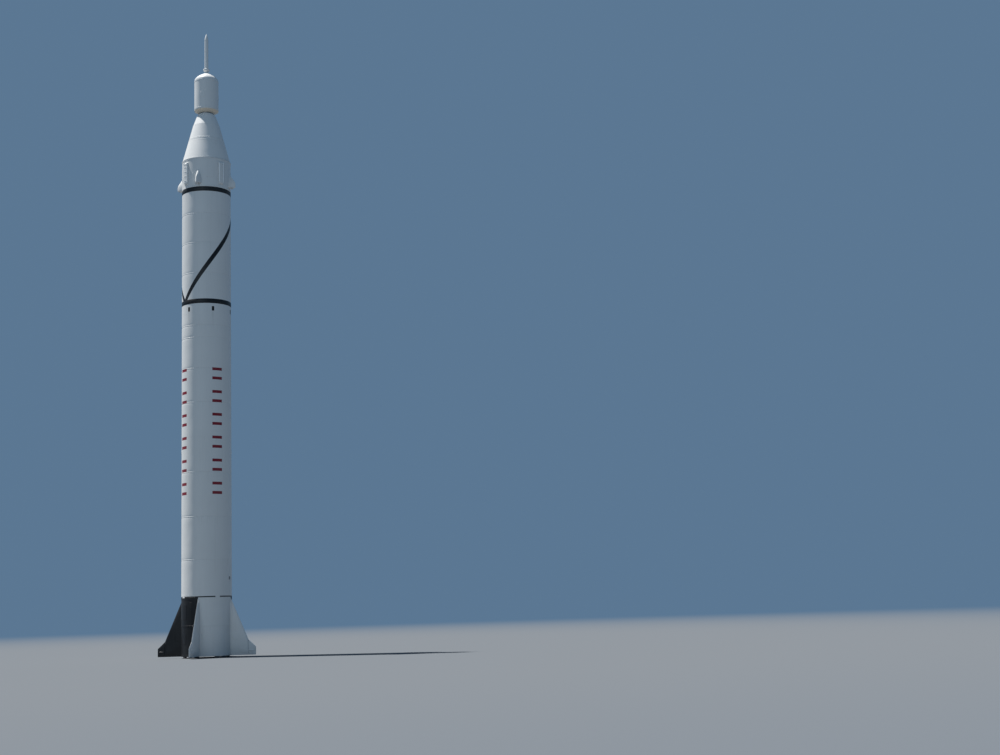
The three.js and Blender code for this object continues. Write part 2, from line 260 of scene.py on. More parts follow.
def aged(finish, tint, chalk, dirt_and_seam_shade):
    """A paint with its chalk, its grime and the painted shade in its seams' creases. Dark paint shows less
    of them.
    """
    shown = 1.0 if max(tint[:3]) > 0.5 else 0.3
    return finish.mix(finish.mix(tint, CHALK, chalk * (0.08 * shown)), GRIME_AND_SEAM_SHADE, dirt_and_seam_shade * shown)


def enamel(name, coat=WHITE, marks=(), seams=(), wear=1.0):
    """Old enamel on sheet metal: marks over the coat, then grime in runs and below each seam,
    painted shade in the crease of each seam, chips down to the primer, the long welds of each
    strake, and a soft waviness of the sheet."""
    finish = Finish(name)
    cloud = finish.noise(0.9)
    runs = finish.step(finish.noise(1.0, 5.0, (17, 17, 0.33)), 0.52, 0.80)
    drips = finish.step(finish.noise(1.0, 3.0, (46, 46, 1.5)), 0.48, 0.74)
    chalk = finish.step(cloud, 0.35, 0.75)
    dirt_and_seam_shade = runs * 0.10 + chalk * 0.03
    turn = 0.0
    for seam in seams:
        below = seam - finish.z
        stain = finish.step(below, -0.004, 0.012) * finish.step(below, 0.5, 0.02)
        # The narrow band round each seam is painted shade, darkening the seam's crease.
        dirt_and_seam_shade = dirt_and_seam_shade + stain * drips * 0.12 + finish.near(below, 0.010, 0.006) * 0.07
        turn = finish.step(finish.z, seam - 0.001, seam + 0.001) * 1.1 + turn
    weld = abs(finish.math("SINE", finish.angle - turn + 0.5)) * BODY_RADIUS
    bead = finish.step(weld, 0.010, 0.002)
    dirt_and_seam_shade = (dirt_and_seam_shade + bead * 0.04) * wear
    chips = finish.step(finish.noise(60, 2.0), 0.715, 0.74) * finish.step(finish.noise(2.3), 0.52, 0.66)
    colour = aged(finish, coat, chalk, dirt_and_seam_shade)
    for mask, tint in marks:
        colour = finish.mix(colour, aged(finish, tint, chalk, dirt_and_seam_shade), mask(finish))
    colour = finish.mix(colour, PRIMER, chips * (0.55 * wear))
    roughness = 0.36 + cloud * 0.12 + dirt_and_seam_shade * 0.6
    waves = finish.noise(1.0, 1.0, (2.2, 2.2, 1.5)) * 0.006
    peel = finish.noise(480, 1.0) * 0.00008
    height = waves + peel + bead * 0.0012 - chips * 0.0002
    return finish.surface(colour, roughness, height, **{"Specular IOR Level": 0.3})


def joint_line(finish):
    """1 on the dark joint between barrel and tank, an open line with sealant above and below."""
    return finish.near(finish.z - (BARREL_TOP - 0.003), 0.021)


def inside_barrel(finish):
    """1 on the barrel's inside, which only has primer."""
    edge = BODY_RADIUS - 0.006
    return finish.step(finish.x * finish.x + finish.y * finish.y, edge ** 2 + 0.003, edge ** 2 - 0.003)


def raised(radius, low, high, proud, slope):
    """Rows of a band that stands proud of a wall of that radius, with sloped edges."""
    return [(radius, low), (radius + proud, low + slope), (radius + proud, high - slope), (radius, high)]


def barrel_profile():
    """Inside from the top plate down to the foot, then outside up to the joint. Ring frames stand
    30 mm inwards, and bands stand 4 mm out."""
    inside = BODY_RADIUS - BARREL_SKIN
    rows = [(inside, BARREL_TOP - BARREL_PLATE)]
    for middle in (1.62, 1.12, 0.62):
        rows += raised(inside, middle + 0.02, middle - 0.02, -0.03, -0.002)
    rows += [(inside, BARREL_FOOT), (BODY_RADIUS, BARREL_FOOT)]
    for low, high in ((BARREL_FOOT + 0.003, 0.13), (1.09, 1.15), (2.05, BARREL_TOP - 0.003)):
        rows += raised(BODY_RADIUS, low, high, 0.004, 0.003)
    return rows + [(BODY_RADIUS, BARREL_TOP)]


BARREL_FOOT, BARREL_TOP = levels_of("tail_barrel")
SEALANT = (0.022, 0.022, 0.022, 1)
GREEN_PRIMER = (0.13, 0.135, 0.085, 1)
barrel_marks = [(quarters, BLACK), (joint_line, SEALANT), (inside_barrel, GREEN_PRIMER)]
tail_enamel = enamel("tail_enamel", marks=barrel_marks, seams=[1.12, 2.085])
barrel = [shell(turned(barrel_profile()))]
piece = make_piece("tail_barrel_skin", barrel, tail_enamel)
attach(piece, "rocket")
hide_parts("tail_barrel")

# Tail doors: large and small access doors between the fins, and the rivets of the barrel's bands.
# The doors are pressed sheet, screwed on round their edges and painted with the barrel.
DOOR_ANGLES = (45, 135, 225, 315)


def repeated(skin, spots, axes):
    """Copies of a skin, all at once: each copy's axes turn its points, and its spot moves them. One
    set of axes may serve for all."""
    vertices, quads, triangles = skin
    axes = np.broadcast_to(axes, (len(spots), 3, 3))
    moved = spots[:, None, :] + np.einsum("nij,vj->nvi", axes, vertices)
    shift = (np.arange(len(spots)) * len(vertices))[:, None, None]
    return moved.reshape(-1, 3), (quads + shift).reshape(-1, 4), (triangles + shift).reshape(-1, 3)


def on_wall(angle, height, radius):
    """Spots on a round wall, each with its axes: round the wall, up, and out of it. Angles in degrees."""
    places = np.broadcast_arrays(np.radians(angle), height, radius)
    angle, height, radius = (values.ravel() for values in places)
    cosine, sine = np.cos(angle), np.sin(angle)
    axes = [points_of(-sine, cosine, 0), points_of(0 * sine, 0, 1), points_of(cosine, sine, 0)]
    return points_of(radius * cosine, radius * sine, height), np.stack(axes, axis=-1)


def stud(radius, proud):
    """A rivet or bolt head that stands on z = 0: a low dome of two rings of eight points."""
    rise = [(radius, -0.5 * proud), (radius, 0.45 * proud), (0.6 * radius, 0.9 * proud)]
    return shell(turned(rise, 8))


def wall_patch(across, upwards, angle, height, radius, proud, depth=0.004):
    """A plate that lies on a round wall, bounded by the outline (across, upwards) round its middle.

    Each ring of its skin is the outline shrunk to a share and held at a level beyond the wall. A
    length across, divided by the radius, becomes an angle, so that the plate follows the wall.
    """
    share = np.array([0.2, 0.6, 1, 1, 0.985, 0.8, 0.6, 0.4, 0.2])[:, None]
    level = np.array([-depth] * 3 + [0.7 * proud] + [proud] * 5)[:, None]
    around = math.radians(angle) + share * across / radius
    reach = radius + level
    return shell(points_of(reach * np.cos(around), reach * np.sin(around), height + share * upwards))


def signed_power(value, power):
    """The power of a value's size, with the value's own sign."""
    return np.sign(value) * np.abs(value) ** power


def rounded_outline(width, tall, squareness, steps=72):
    """A rectangle with round corners: the shares of half its width and of half its height, each
    raised to the squareness, add up to 1."""
    turn, power = circle(steps), 2 / squareness
    return width / 2 * signed_power(np.cos(turn), power), tall / 2 * signed_power(np.sin(turn), power)


def edge_screws(across, upwards, angle, height, radius, every, inset=0.93, size=0.006):
    """Screw heads along an outline on a round wall, at equal lengths along it."""
    around = np.append(across, across[0]) * inset
    along = np.append(upwards, upwards[0]) * inset
    run = np.append(0, np.cumsum(np.hypot(np.diff(around), np.diff(along))))
    marks = np.arange(0, run[-1] - every / 2, run[-1] / round(run[-1] / every))
    turn = angle + np.degrees(np.interp(marks, run, around) / radius)
    return repeated(stud(size, 0.003), *on_wall(turn, height + np.interp(marks, run, along), radius))


def wall_doors(rows, radius):
    """Doors with their screws. Each row is angles, height, width, tall and squareness."""
    skins = []
    for angles, height, *size in rows:
        outline = rounded_outline(*size)
        for angle in angles:
            skins.append(wall_patch(*outline, angle, height, radius, 0.004))
            skins.append(edge_screws(*outline, angle, height, radius + 0.004, 0.07))
    return skins


def rivet_rows(heights, radius, count, size=0.007):
    """Rows of rivets right round a wall, each row half a step on from the last."""
    step = 360 / count
    angles = np.arange(count) * step + step / 2 * (np.arange(len(heights)) % 2)[:, None]
    return repeated(stud(size, 0.0035), *on_wall(angles, np.asarray(heights)[:, None], radius))


tail_door_rows = [
    (DOOR_ANGLES, 1.62, 0.44, 0.56, 9),
    (DOOR_ANGLES, 0.66, 0.36, 0.36, 9),
    ((22, 202), 1.35, 0.16, 0.16, 2),
    ((70, 250), 1.86, 0.14, 0.20, 6),
]
tail_doors = wall_doors(tail_door_rows, BODY_RADIUS)
tail_doors.append(rivet_rows([0.08, 0.11, 1.105, 1.135, 2.07, 2.12], BODY_RADIUS + 0.004, 96))
piece = make_piece("tail_doors", tail_doors, tail_enamel)
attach(piece, "rocket")

# Engine: bare metal between the fins' roots. The aft ring, the heat shield and the plain block of
# the engine keep their solids, in brushed steel darkened by heat and oil.
STEEL = (0.33, 0.325, 0.31, 1)
DULL_STEEL = (0.22, 0.215, 0.21, 1)
SCORCHED = (0.09, 0.065, 0.05, 1)
BLUED = (0.10, 0.12, 0.19, 1)


def hot_steel(name, hot_height=None, bright=STEEL, age=1.0):
    """Brushed steel, with rust-brown stains, and scorched and blued up to the height given."""
    finish = Finish(name)
    brushed = finish.noise(1.0, 3.0, (9, 9, 260))
    stains = finish.step(finish.noise(5.5, 6.0, turbulence=0.65), 0.48, 0.72) * age
    colour = finish.mix(bright, DULL_STEEL, brushed * age)
    colour = finish.mix(colour, SCORCHED, stains * 0.55)
    roughness = 0.30 + stains * 0.3 + brushed * 0.12
    if hot_height is not None:
        heat = finish.step(finish.z + finish.noise(8) * 0.12, hot_height + 0.14, hot_height - 0.04)
        colour = finish.mix(colour, BLUED, finish.step(heat, 0.15, 0.6) * 0.7)
        colour = finish.mix(colour, SCORCHED, finish.step(heat, 0.6, 1.0) * 0.85)
    height = brushed * 0.00006 + stains * 0.0003
    return finish.surface(colour, roughness, height, Metallic=1.0 - stains * 0.5)


shield_steel = hot_steel("shield_steel", 0.44)
for node in ("aft_ring", "heat_shield", "engine_block"):
    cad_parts[node].data.materials.clear()
    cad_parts[node].data.materials.append(shield_steel)

# Heat shield fittings: pressed ribs across the flat plate, the bolts round its rim and its hole,
# and the bolts that hold the aft ring to the barrel.
SHIELD_FOOT = levels_of("heat_shield")[0]
SHIELD_HOLE = 0.445
SHIELD_BOLT = (0.008, 0.006)  # radius and height of a head


def rod(start, end, radius, steps=16, roll=0.004):
    """A round rod between two points, with its end edges rounded by roll."""
    start, end = np.asarray(start, float), np.asarray(end, float)
    length = np.linalg.norm(end - start)
    along = (end - start) / length
    side = np.cross(along, [0.0, 0.0, 1.0] if abs(along[2]) < 0.9 else [1.0, 0.0, 0.0])
    side /= np.linalg.norm(side)
    axes = np.stack([side, np.cross(along, side), along], axis=-1)
    rise = [(radius - roll, 0), (radius, roll), (radius, length - roll), (radius - roll, length)]
    return repeated(shell(turned(rise, steps)), start[None], axes)


def shield_fittings():
    """Ribs are half-sunk rods under the plate. Bolts stand under it on circles."""
    rib = rod((SHIELD_HOLE + 0.04, 0, SHIELD_FOOT), (0.84, 0, SHIELD_FOOT), 0.012)
    skins = [turned_about(rib, degrees) for degrees in range(15, 375, 30)]
    for radius, count in ((0.858, 48), (SHIELD_HOLE + 0.016, 36)):
        spots = turned([(radius, SHIELD_FOOT)], count)[0]
        skins.append(repeated(stud(*SHIELD_BOLT), spots, np.diag([1.0, -1.0, -1.0])))
    spots, axes = on_wall(np.arange(48) * 7.5, np.array([[0.085], [0.125]]), 0.8)
    return skins + [repeated(stud(*SHIELD_BOLT), spots, axes * [1, 1, -1])]


piece = make_piece("shield_fittings", shield_fittings(), shield_steel)
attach(piece, "rocket")

# Nozzle: a double-walled bell of welded steel with hoops round it and a manifold at its lip. It is
# blued and scorched by the jet, darkest towards its lip.
NOZZLE_EXIT, NOZZLE_TOP = levels_of("nozzle")
NOZZLE_WALL = 0.015
THROAT_RADIUS = 0.19
THROAT_HEIGHT = NOZZLE_TOP - NOZZLE_WALL
EXIT_RADIUS = 0.40


def bell_radius(height):
    """Inner radius of the bell, which grows with the root of the distance below the throat."""
    share = (THROAT_HEIGHT - height) / (THROAT_HEIGHT - NOZZLE_EXIT)
    return THROAT_RADIUS + (EXIT_RADIUS - THROAT_RADIUS) * np.sqrt(share)


def hoop(radius, height, size):
    """A ring of round section, with its middle at radius and height."""
    section = points_of(radius + size * np.cos(circle(10)), height + size * np.sin(circle(10)))
    return shell(turned(section, 120), ring=True)


def nozzle_skins():
    """The bell runs down inside and up outside. Hoops and the lip's manifold stand round it."""
    heights = THROAT_HEIGHT - (THROAT_HEIGHT - NOZZLE_EXIT) * np.linspace(0, 1, 22) ** 2
    inner = points_of(bell_radius(heights), heights)
    outer = (inner + [NOZZLE_WALL, 0])[::-1]
    neck = [(THROAT_RADIUS + NOZZLE_WALL, NOZZLE_TOP)]
    skins = [shell(turned(np.concatenate([inner, outer, neck]), 144))]
    for height in (0.78, 0.68, 0.58, 0.49):
        skins.append(hoop(bell_radius(height) + NOZZLE_WALL + 0.006, height, 0.012))
    return skins + [hoop(EXIT_RADIUS + 0.012, NOZZLE_EXIT + 0.014, 0.017)]


piece = make_piece("nozzle_bell", nozzle_skins(), hot_steel("nozzle_steel", 0.62))
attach(piece, "rocket")
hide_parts("nozzle")

# Turbine exhaust: a steel pipe from the engine's side that bends down through the heat shield and
# ends in an open mouth, with a collar where it passes the shield.
PIPE_RADIUS = 0.045
PIPE_X, PIPE_Y = 0.45, 0.30
PIPE_MOUTH = levels_of("turbine_exhaust")[0]
PIPE_TURN = 0.94
PIPE_BEND = 0.10
COLLAR_BORE = PIPE_RADIUS - 0.002
COLLAR_RADIUS = 0.075


def exhaust_skin():
    """A circle carried along the route: straight up, then round a quarter arc towards the engine.
    Inside the mouth the circle comes back up as a narrower one."""
    bend = np.linspace(0, np.pi / 2, 12)
    levels = PIPE_MOUTH + np.array([0.25, 0.10, 0, 0, 0.012, 0.012])
    rise = np.concatenate([levels, [PIPE_TURN - 0.1], PIPE_TURN + PIPE_BEND * np.sin(bend)])[:, None]
    tilt = np.concatenate([np.zeros(7), bend])[:, None]
    inner, lip = PIPE_RADIUS - 0.006, PIPE_RADIUS + 0.004
    radius = np.array([inner] * 3 + [lip] * 2 + [PIPE_RADIUS] * 14)[:, None]
    out = radius * np.cos(circle(40))
    x = PIPE_X - PIPE_BEND * (1 - np.cos(tilt)) + out * np.cos(tilt)
    return shell(points_of(x, PIPE_Y + radius * np.sin(circle(40)), rise + out * np.sin(tilt)))


collar = raised(COLLAR_BORE, SHIELD_FOOT - 0.006, SHIELD_FOOT + 0.002, COLLAR_RADIUS - COLLAR_BORE, 0)
points, quads, triangles = shell(turned(collar, 48), ring=True)
exhaust = [exhaust_skin(), (points + [PIPE_X, PIPE_Y, 0], quads, triangles)]
exhaust_steel = hot_steel("pipe_steel", 0.5)
piece = make_piece("exhaust_pipe", exhaust, exhaust_steel)
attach(piece, "rocket")
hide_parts("turbine_exhaust")

# Fins: each is a flat-sided blade of riveted sheet over spars and ribs, with a blunt foot and a
# rounded leading edge. Angle strips bolt its root to the barrel. Each face is painted like the
# quarter of the barrel beside it.
FIN_FOOT = levels_of("fin_1")[0]
FIN_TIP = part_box("fin_1")[1].x
FIN_TOP = 2.1
FIN_SLOPE = 0.44  # run outwards for each unit down
FIN_ROOT_THICKNESS = 0.130
FIN_TIP_THICKNESS = 0.084
SHAFT_HEIGHT = 0.215
FIN_TURNS = (0, 90, 180, 270)
# Share of the thickness at the tail, then shares of the chord where it is full and starts to fall
FIN_SHAPE = (0.42, 0.25, 0.66)


def blade_share(chord, tail, rise, fall, nose=0.0):
    """Share of the full thickness at a share of the chord: from tail up a quarter sine to 1 at
    rise, flat to fall, then down a near-ellipse to nose."""
    up = tail + (1 - tail) * np.sin(np.pi / 2 * np.clip(chord / rise, 0, 1))
    down = nose + (1 - nose) * (1 - np.clip((chord - fall) / (1 - fall), 0, 1) ** 2) ** 0.58
    return np.where(chord < fall, up, down)


def blade(stations, shape):
    """A skin through stations of reach, foot, top and thickness. Its section runs up one side of
    the chord and down the other, with points closer together towards the leading edge."""
    chord = np.sin(np.linspace(0, np.pi / 2, 26)) ** 1.15
    loop = np.concatenate([chord, chord[::-1]])
    side = np.concatenate([blade_share(chord, *shape), -blade_share(chord[::-1], *shape)])
    reach, foot, top, thickness = np.asarray(stations, float).T[:, :, None]
    return shell(points_of(reach, thickness / 2 * side, foot + loop * (top - foot)))


def fin_edge(reach):
    """Height of the leading edge and half thickness of the fin at a distance from the axis."""
    share = (reach - BODY_RADIUS) / (FIN_TIP - BODY_RADIUS)
    thickness = FIN_ROOT_THICKNESS + (FIN_TIP_THICKNESS - FIN_ROOT_THICKNESS) * share
    return FIN_TOP - (reach - BODY_RADIUS) / FIN_SLOPE, thickness / 2


def edge_stations(edge, reaches):
    """Stations of a blade at reaches, from its level foot up to its leading edge."""
    return [(reach, FIN_FOOT, edge(reach)[0], 2 * edge(reach)[1]) for reach in reaches]


def face_rivets(edge, shape, reach, chord, side, size):
    """Rivets on one side of a blade's flat face, at reaches and shares of the chord."""
    top, half = edge(reach)
    out = side * half * blade_share(chord, *shape)
    spots = points_of(reach, out, FIN_FOOT + chord * (top - FIN_FOOT))
    return repeated(stud(size, 0.0025), spots, [[1.0, 0, 0], [0, 0, side], [0, 1.0, 0]])


def face_plate(reach, height, width, tall, side):
    """A flat door on a fin's face, 3 mm proud, that leans with the taper of the fin."""
    across, upwards = rounded_outline(width, tall, 7, 48)
    share = np.array([1, 1, 0.97, 0.6])[:, None]
    level = np.array([-0.004, 0.002, 0.003, 0.003])[:, None]
    x, z = reach + share * across, height + share * upwards
    top, half = fin_edge(x)
    y = side * (half * blade_share((z - FIN_FOOT) / (top - FIN_FOOT), *FIN_SHAPE) + level)
    return shell(points_of(x, y, z))


def root_strip(side):
    """Angle strip along a fin's root: a flat leg on the fin and a round one on the barrel. The flat
    leg narrows at the top, where the leading edge comes in."""
    height = np.linspace(FIN_FOOT + 0.02, FIN_TOP - 0.02, 48)[:, None]
    top, half = fin_edge(np.array(BODY_RADIUS))
    foot = half * blade_share((height - FIN_FOOT) / (top - FIN_FOOT), *FIN_SHAPE)
    leg = np.minimum(0.055, 0.7 * FIN_SLOPE * (FIN_TOP - height))
    out = leg * [0, 1, 1, 0, 0, 0, 0, 0] + [0, 0, 0, 0.006, 0.004, 0.002, -0.004, -0.004]
    y = side * (foot + [-0.006, -0.006, 0.004, 0.005, 0.008, 0.055, 0.055, 0.0])
    wall = np.sqrt(np.maximum(BODY_RADIUS ** 2 - y ** 2, 0))
    return shell(points_of(wall + out, y, height))


def fin_skins():
    """The blade, which narrows by a tenth at its very tip, its rivets along spars and ribs, two doors
    on each face, and the root strips."""
    top, half = fin_edge(1.55)
    stations = edge_stations(fin_edge, (0.872, 1.0, 1.15, 1.3, 1.45, 1.542))
    stations.append((1.55, FIN_FOOT, top - 0.01, 1.8 * half))
    rows = [(np.linspace(0.97, 1.53, 16), 0.03), (np.linspace(0.97, 1.53, 42), 0.90)]
    for height in (0.40, 0.95, 1.45):
        along = np.arange(0.97, FIN_TIP, 0.035)
        share = (height - FIN_FOOT) / (fin_edge(along)[0] - FIN_FOOT)
        rows.append((along[share < 0.86], share[share < 0.86]))
    for reach in (0.965, 1.11, 1.26, 1.40, 1.53):
        step = 0.035 / (fin_edge(reach)[0] - FIN_FOOT)
        rows.append((reach, np.arange(step, 0.88, step)))
    skins = [blade(stations, FIN_SHAPE)]
    for side in (1, -1):
        skins += [face_rivets(fin_edge, FIN_SHAPE, *row, side, 0.005) for row in rows]
        skins.append(face_plate(1.38, SHAFT_HEIGHT + 0.01, 0.22, 0.17, side))
        skins.append(face_plate(1.08, 0.72, 0.17, 0.26, side))
        skins.append(root_strip(side))
    return skins


fins = fin_skins()
fin_enamel = enamel("fin_enamel", marks=[(quarters, BLACK)])
for number, turn in enumerate(FIN_TURNS, 1):
    piece = make_piece(f"fin_skin_{number}", fins, fin_enamel, turn)
    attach(piece, "rocket")
    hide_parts(f"fin_{number}")

# Rudders: a small blade at each fin's tip, on a steel shaft that runs through the fin to a jet
# vane. The blade is riveted sheet, painted like its fin, with a clamped hub round the shaft.
RUDDER_ROOT = FIN_TIP + 0.008
RUDDER_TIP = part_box("rudder_1")[1].x
RUDDER_TOP = FIN_TOP - (FIN_TIP - BODY_RADIUS) / FIN_SLOPE - 0.015
RUDDER_TIP_TOP = 0.35
RUDDER_SHAPE = (0.4, 0.22, 0.62)
VANE_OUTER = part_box("jet_vane_1")[1].x
# Start, end and radius of the shaft, its socket on the vane, and the couplings
SHAFT_RODS = [
    (VANE_OUTER - 0.03, RUDDER_ROOT + 0.08, 0.022),
    (VANE_OUTER - 0.006, VANE_OUTER + 0.05, 0.034),
    (0.56, 0.585, 0.045),
    (0.587, 0.612, 0.045),
]
# Radius, and distance out from the root
HUB_ROWS = [
    (0.034, 0.0),
    (0.046, 0.006),
    (0.050, 0.03),
    (0.049, 0.12),
    (0.042, 0.18),
    (0.030, 0.225),
    (0.014, 0.247),
    (0.004, 0.25),
]


def smooth_through(points, steps):
    """A smooth curve through points: on each span a cubic that leaves and reaches its points along
    the line between their neighbours."""
    points = np.asarray(points, float)
    before = np.vstack([2 * points[0] - points[1], points[:-2]])
    after = np.vstack([points[2:], 2 * points[-1] - points[-2]])
    start, end = points[:-1, None], points[1:, None]
    leave, reach = (end - before[:, None]) / 2, (after[:, None] - start) / 2
    t = np.linspace(0, 1, steps, endpoint=False)[None, :, None]
    curve = (
        start * (2 * t ** 3 - 3 * t ** 2 + 1)
        + leave * (t ** 3 - 2 * t ** 2 + t)
        + end * (3 * t ** 2 - 2 * t ** 3)
        + reach * (t ** 3 - t ** 2)
    )
    return np.vstack([curve.reshape(-1, points.shape[1]), points[-1]])


def rudder_edge(reach):
    """Height of the leading edge, and half thickness, at a distance from the rocket's axis."""
    share = (reach - RUDDER_ROOT) / (RUDDER_TIP - RUDDER_ROOT)
    return RUDDER_TOP + share * (RUDDER_TIP_TOP - RUDDER_TOP), 0.040 - 0.020 * share


def rudder_skins():
    """The blade with its rounded tip, rivets, and a hub."""
    reaches = RUDDER_ROOT + np.array([0.35, 0.7, 0.97]) * (RUDDER_TIP - RUDDER_ROOT)
    stations = [
        (RUDDER_ROOT, FIN_FOOT, RUDDER_TOP - 0.004, 0.074),
        (RUDDER_ROOT + 0.004, FIN_FOOT, RUDDER_TOP, 0.080),
        *edge_stations(rudder_edge, reaches),
        (RUDDER_TIP, FIN_FOOT + 0.003, RUDDER_TIP_TOP - 0.003, 0.030),
    ]
    skins = [blade(stations, RUDDER_SHAPE)]
    chord = np.linspace(0.06, 0.9, 12)
    for side in (1, -1):
        for reach in (RUDDER_ROOT + 0.02, RUDDER_ROOT + 0.13, RUDDER_TIP - 0.03):
            skins.append(face_rivets(rudder_edge, RUDDER_SHAPE, reach, chord, side, 0.0045))
    spot = np.array([[RUDDER_ROOT + 0.004, 0, SHAFT_HEIGHT]])
    hub = shell(turned(smooth_through(HUB_ROWS, 4), 32))
    return skins + [repeated(hub, spot, [[0, 0, 1.0], [1.0, 0, 0], [0, 1.0, 0]])]


rudders = rudder_skins()
shafts = [rod((start, 0, SHAFT_HEIGHT), (end, 0, SHAFT_HEIGHT), size, 32) for start, end, size in SHAFT_RODS]
shaft_steel = hot_steel("shaft_steel")
for number, turn in enumerate(FIN_TURNS, 1):
    piece = make_piece(f"rudder_skin_{number}", rudders, fin_enamel, turn)
    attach(piece, f"rudder_set_{number}")
    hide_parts(f"rudder_{number}")
    piece = make_piece(f"steering_shaft_{number}", shafts, shaft_steel, turn)
    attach(piece, f"rudder_set_{number}")

# Jet vanes: thick graphite blades in the engine's jet, eaten away a little at their upper edge and
# dusted with soot.
VANE_INNER = 0.11
VANE_FOOT, VANE_TOP = levels_of("jet_vane_1")
VANE_SHAPE = (0.3, 0.3, 0.7, 0.22)


def graphite(name):
    """Sooty graphite: dark grey with a faint sheen, pitted by the jet."""
    finish = Finish(name)
    soot = finish.step(finish.noise(14, 5.0), 0.4, 0.7)
    pits = finish.step(finish.noise(160, 3.0), 0.55, 0.72)
    colour = finish.mix((0.045, 0.045, 0.048, 1), (0.016, 0.015, 0.014, 1), soot)
    colour = finish.mix(colour, (0.11, 0.105, 0.10, 1), pits * 0.4)
    return finish.surface(colour, 0.5 + soot * 0.3, soot * 0.0004 - pits * 0.0008)


vane_stations = [
    (VANE_INNER, VANE_FOOT + 0.033, VANE_TOP - 0.004, 0.022),
    (VANE_INNER + 0.006, VANE_FOOT + 0.029, VANE_TOP, 0.026),
    (VANE_INNER + 0.11, VANE_FOOT + 0.015, VANE_TOP, 0.030),
    (VANE_OUTER - 0.005, VANE_FOOT, VANE_TOP, 0.034),
    (VANE_OUTER, VANE_FOOT + 0.004, VANE_TOP - 0.004, 0.030),
]
vanes = [blade(vane_stations, VANE_SHAPE)]
vane_graphite = graphite("graphite")
for number, turn in enumerate(FIN_TURNS, 1):
    piece = make_piece(f"jet_vane_skin_{number}", vanes, vane_graphite, turn)
    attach(piece, f"rudder_set_{number}")
    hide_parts(f"jet_vane_{number}")

# Lower tank: rings of white-enamelled sheet, butt-welded end to end. Each weld draws the wall in
# a little. Its foot stands on the barrel with an open line between, which four small plates
# bridge. Red level marks start on it and go on up the middle tank.
RED = (0.20, 0.012, 0.022, 1)
TANK_FOOT, TANK_SEAM = levels_of("lower_tank")
TANK_SHOULDER = 2.156
SPIGOT_RADIUS = BODY_RADIUS - 0.012
LOWER_SEAMS = (3.45, 4.98, 6.58)
MARK_TOP = 10.36
MARK_PITCH = 0.83
MARK_COUNT = 6
MARK_WIDTH = 0.38
MARK_BAR = 0.105
MARK_TALL = 0.44
BESIDE_WELD = np.array([-90, -60, -35, -18, -10, -5, 0, 5, 10, 18, 35, 60, 90]) / 1000


def off_middle(finish, first, count):
    """Angle from the nearest of count even places round the body, the first at first degrees."""
    pitch = 2 * math.pi / count
    turn = finish.angle + (pitch / 2 - math.radians(first))
    return finish.math("FLOORED_MODULO", turn, pitch) - pitch / 2


def red_marks(finish):
    """Pairs of level bars in four columns between the fins, at equal steps up the tanks."""
    beside = finish.near(off_middle(finish, 45, 4) * BODY_RADIUS, MARK_WIDTH / 2)
    down = MARK_TOP - finish.z
    span = MARK_PITCH * MARK_COUNT
    within = finish.step(down, -0.01, 0.0) * finish.step(down, span, span - 0.01)
    off = abs(finish.math("FLOORED_MODULO", down, MARK_PITCH) - MARK_TALL / 2)
    gap = MARK_TALL / 2 - MARK_BAR
    bars = finish.near(off, MARK_TALL / 2) * finish.step(off, gap - 0.002, gap + 0.002)
    return beside * within * bars


def weld_draw(height, seams):
    """How far the wall stands off its radius at ring welds: a 5 mm hollow a hand wide, with a bead
    6 mm high in its middle."""
    off = height[:, None] - np.asarray(seams, float)
    return (0.006 * np.exp(-(off / 0.008) ** 2) - 0.005 * np.exp(-(off / 0.045) ** 2)).sum(axis=1)


def wall_heights(foot, top, seams, extra=()):
    """Heights of a wall's rows: about four to the metre, and closer round each weld."""
    plain = np.linspace(foot, top, max(2, round((top - foot) * 4)))
    near = np.asarray(seams, float)[:, None] + BESIDE_WELD
    return np.unique(np.clip(np.concatenate([plain, near.ravel(), extra]), foot, top).round(5))


def tank_wall(foot, top, seams):
    """Radius and height rows of a welded wall."""
    heights = wall_heights(foot, top, seams)
    return points_of(BODY_RADIUS + weld_draw(heights, seams), heights)


lower_rows = [(SPIGOT_RADIUS, TANK_FOOT), (SPIGOT_RADIUS, TANK_SHOULDER)]
lower_rows = np.concatenate([lower_rows, tank_wall(TANK_SHOULDER, TANK_SEAM, LOWER_SEAMS)])
lower_marks = [(red_marks, RED), (joint_line, SEALANT)]
tank_enamel = enamel("tank_enamel", marks=lower_marks, seams=(TANK_SHOULDER, *LOWER_SEAMS, TANK_SEAM))
lower_tank = [shell(turned(lower_rows))]
piece = make_piece("lower_tank_skin", lower_tank, tank_enamel)
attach(piece, "rocket")
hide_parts("lower_tank")

# Lower tank fittings: the plates that bridge the joint, rivets above it, fill ports with bolted
# rims and rubber plugs, and small service doors.
PORT_SPOTS, PORT_AXES = on_wall((-7, 173), 2.79, BODY_RADIUS)
PORT_RIM = [(0.060, -0.03), (0.060, 0.008), (0.064, 0.012), (0.082, 0.012), (0.086, 0.008), (0.086, -0.02)]
PLUG_ROWS = [(0.059, -0.02), (0.059, 0.004), (0.038, 0.005), (0.036, 0.008), (0.014, 0.009)]
service_doors = [((110, 290), 2.62, 0.20, 0.26, 7), ((20, 200), 7.35, 0.14, 0.14, 2)]


def plug_rubber(name):
    """The rubber plug of a port: matt blue-grey, dusty at its edges."""
    finish = Finish(name)
    dust = finish.step(finish.noise(30, 4.0), 0.45, 0.8)
    colour = finish.mix((0.16, 0.18, 0.20, 1), (0.24, 0.235, 0.22, 1), dust * 0.5)
    return finish.surface(colour, 0.75 + dust * 0.2, dust * 0.0003)


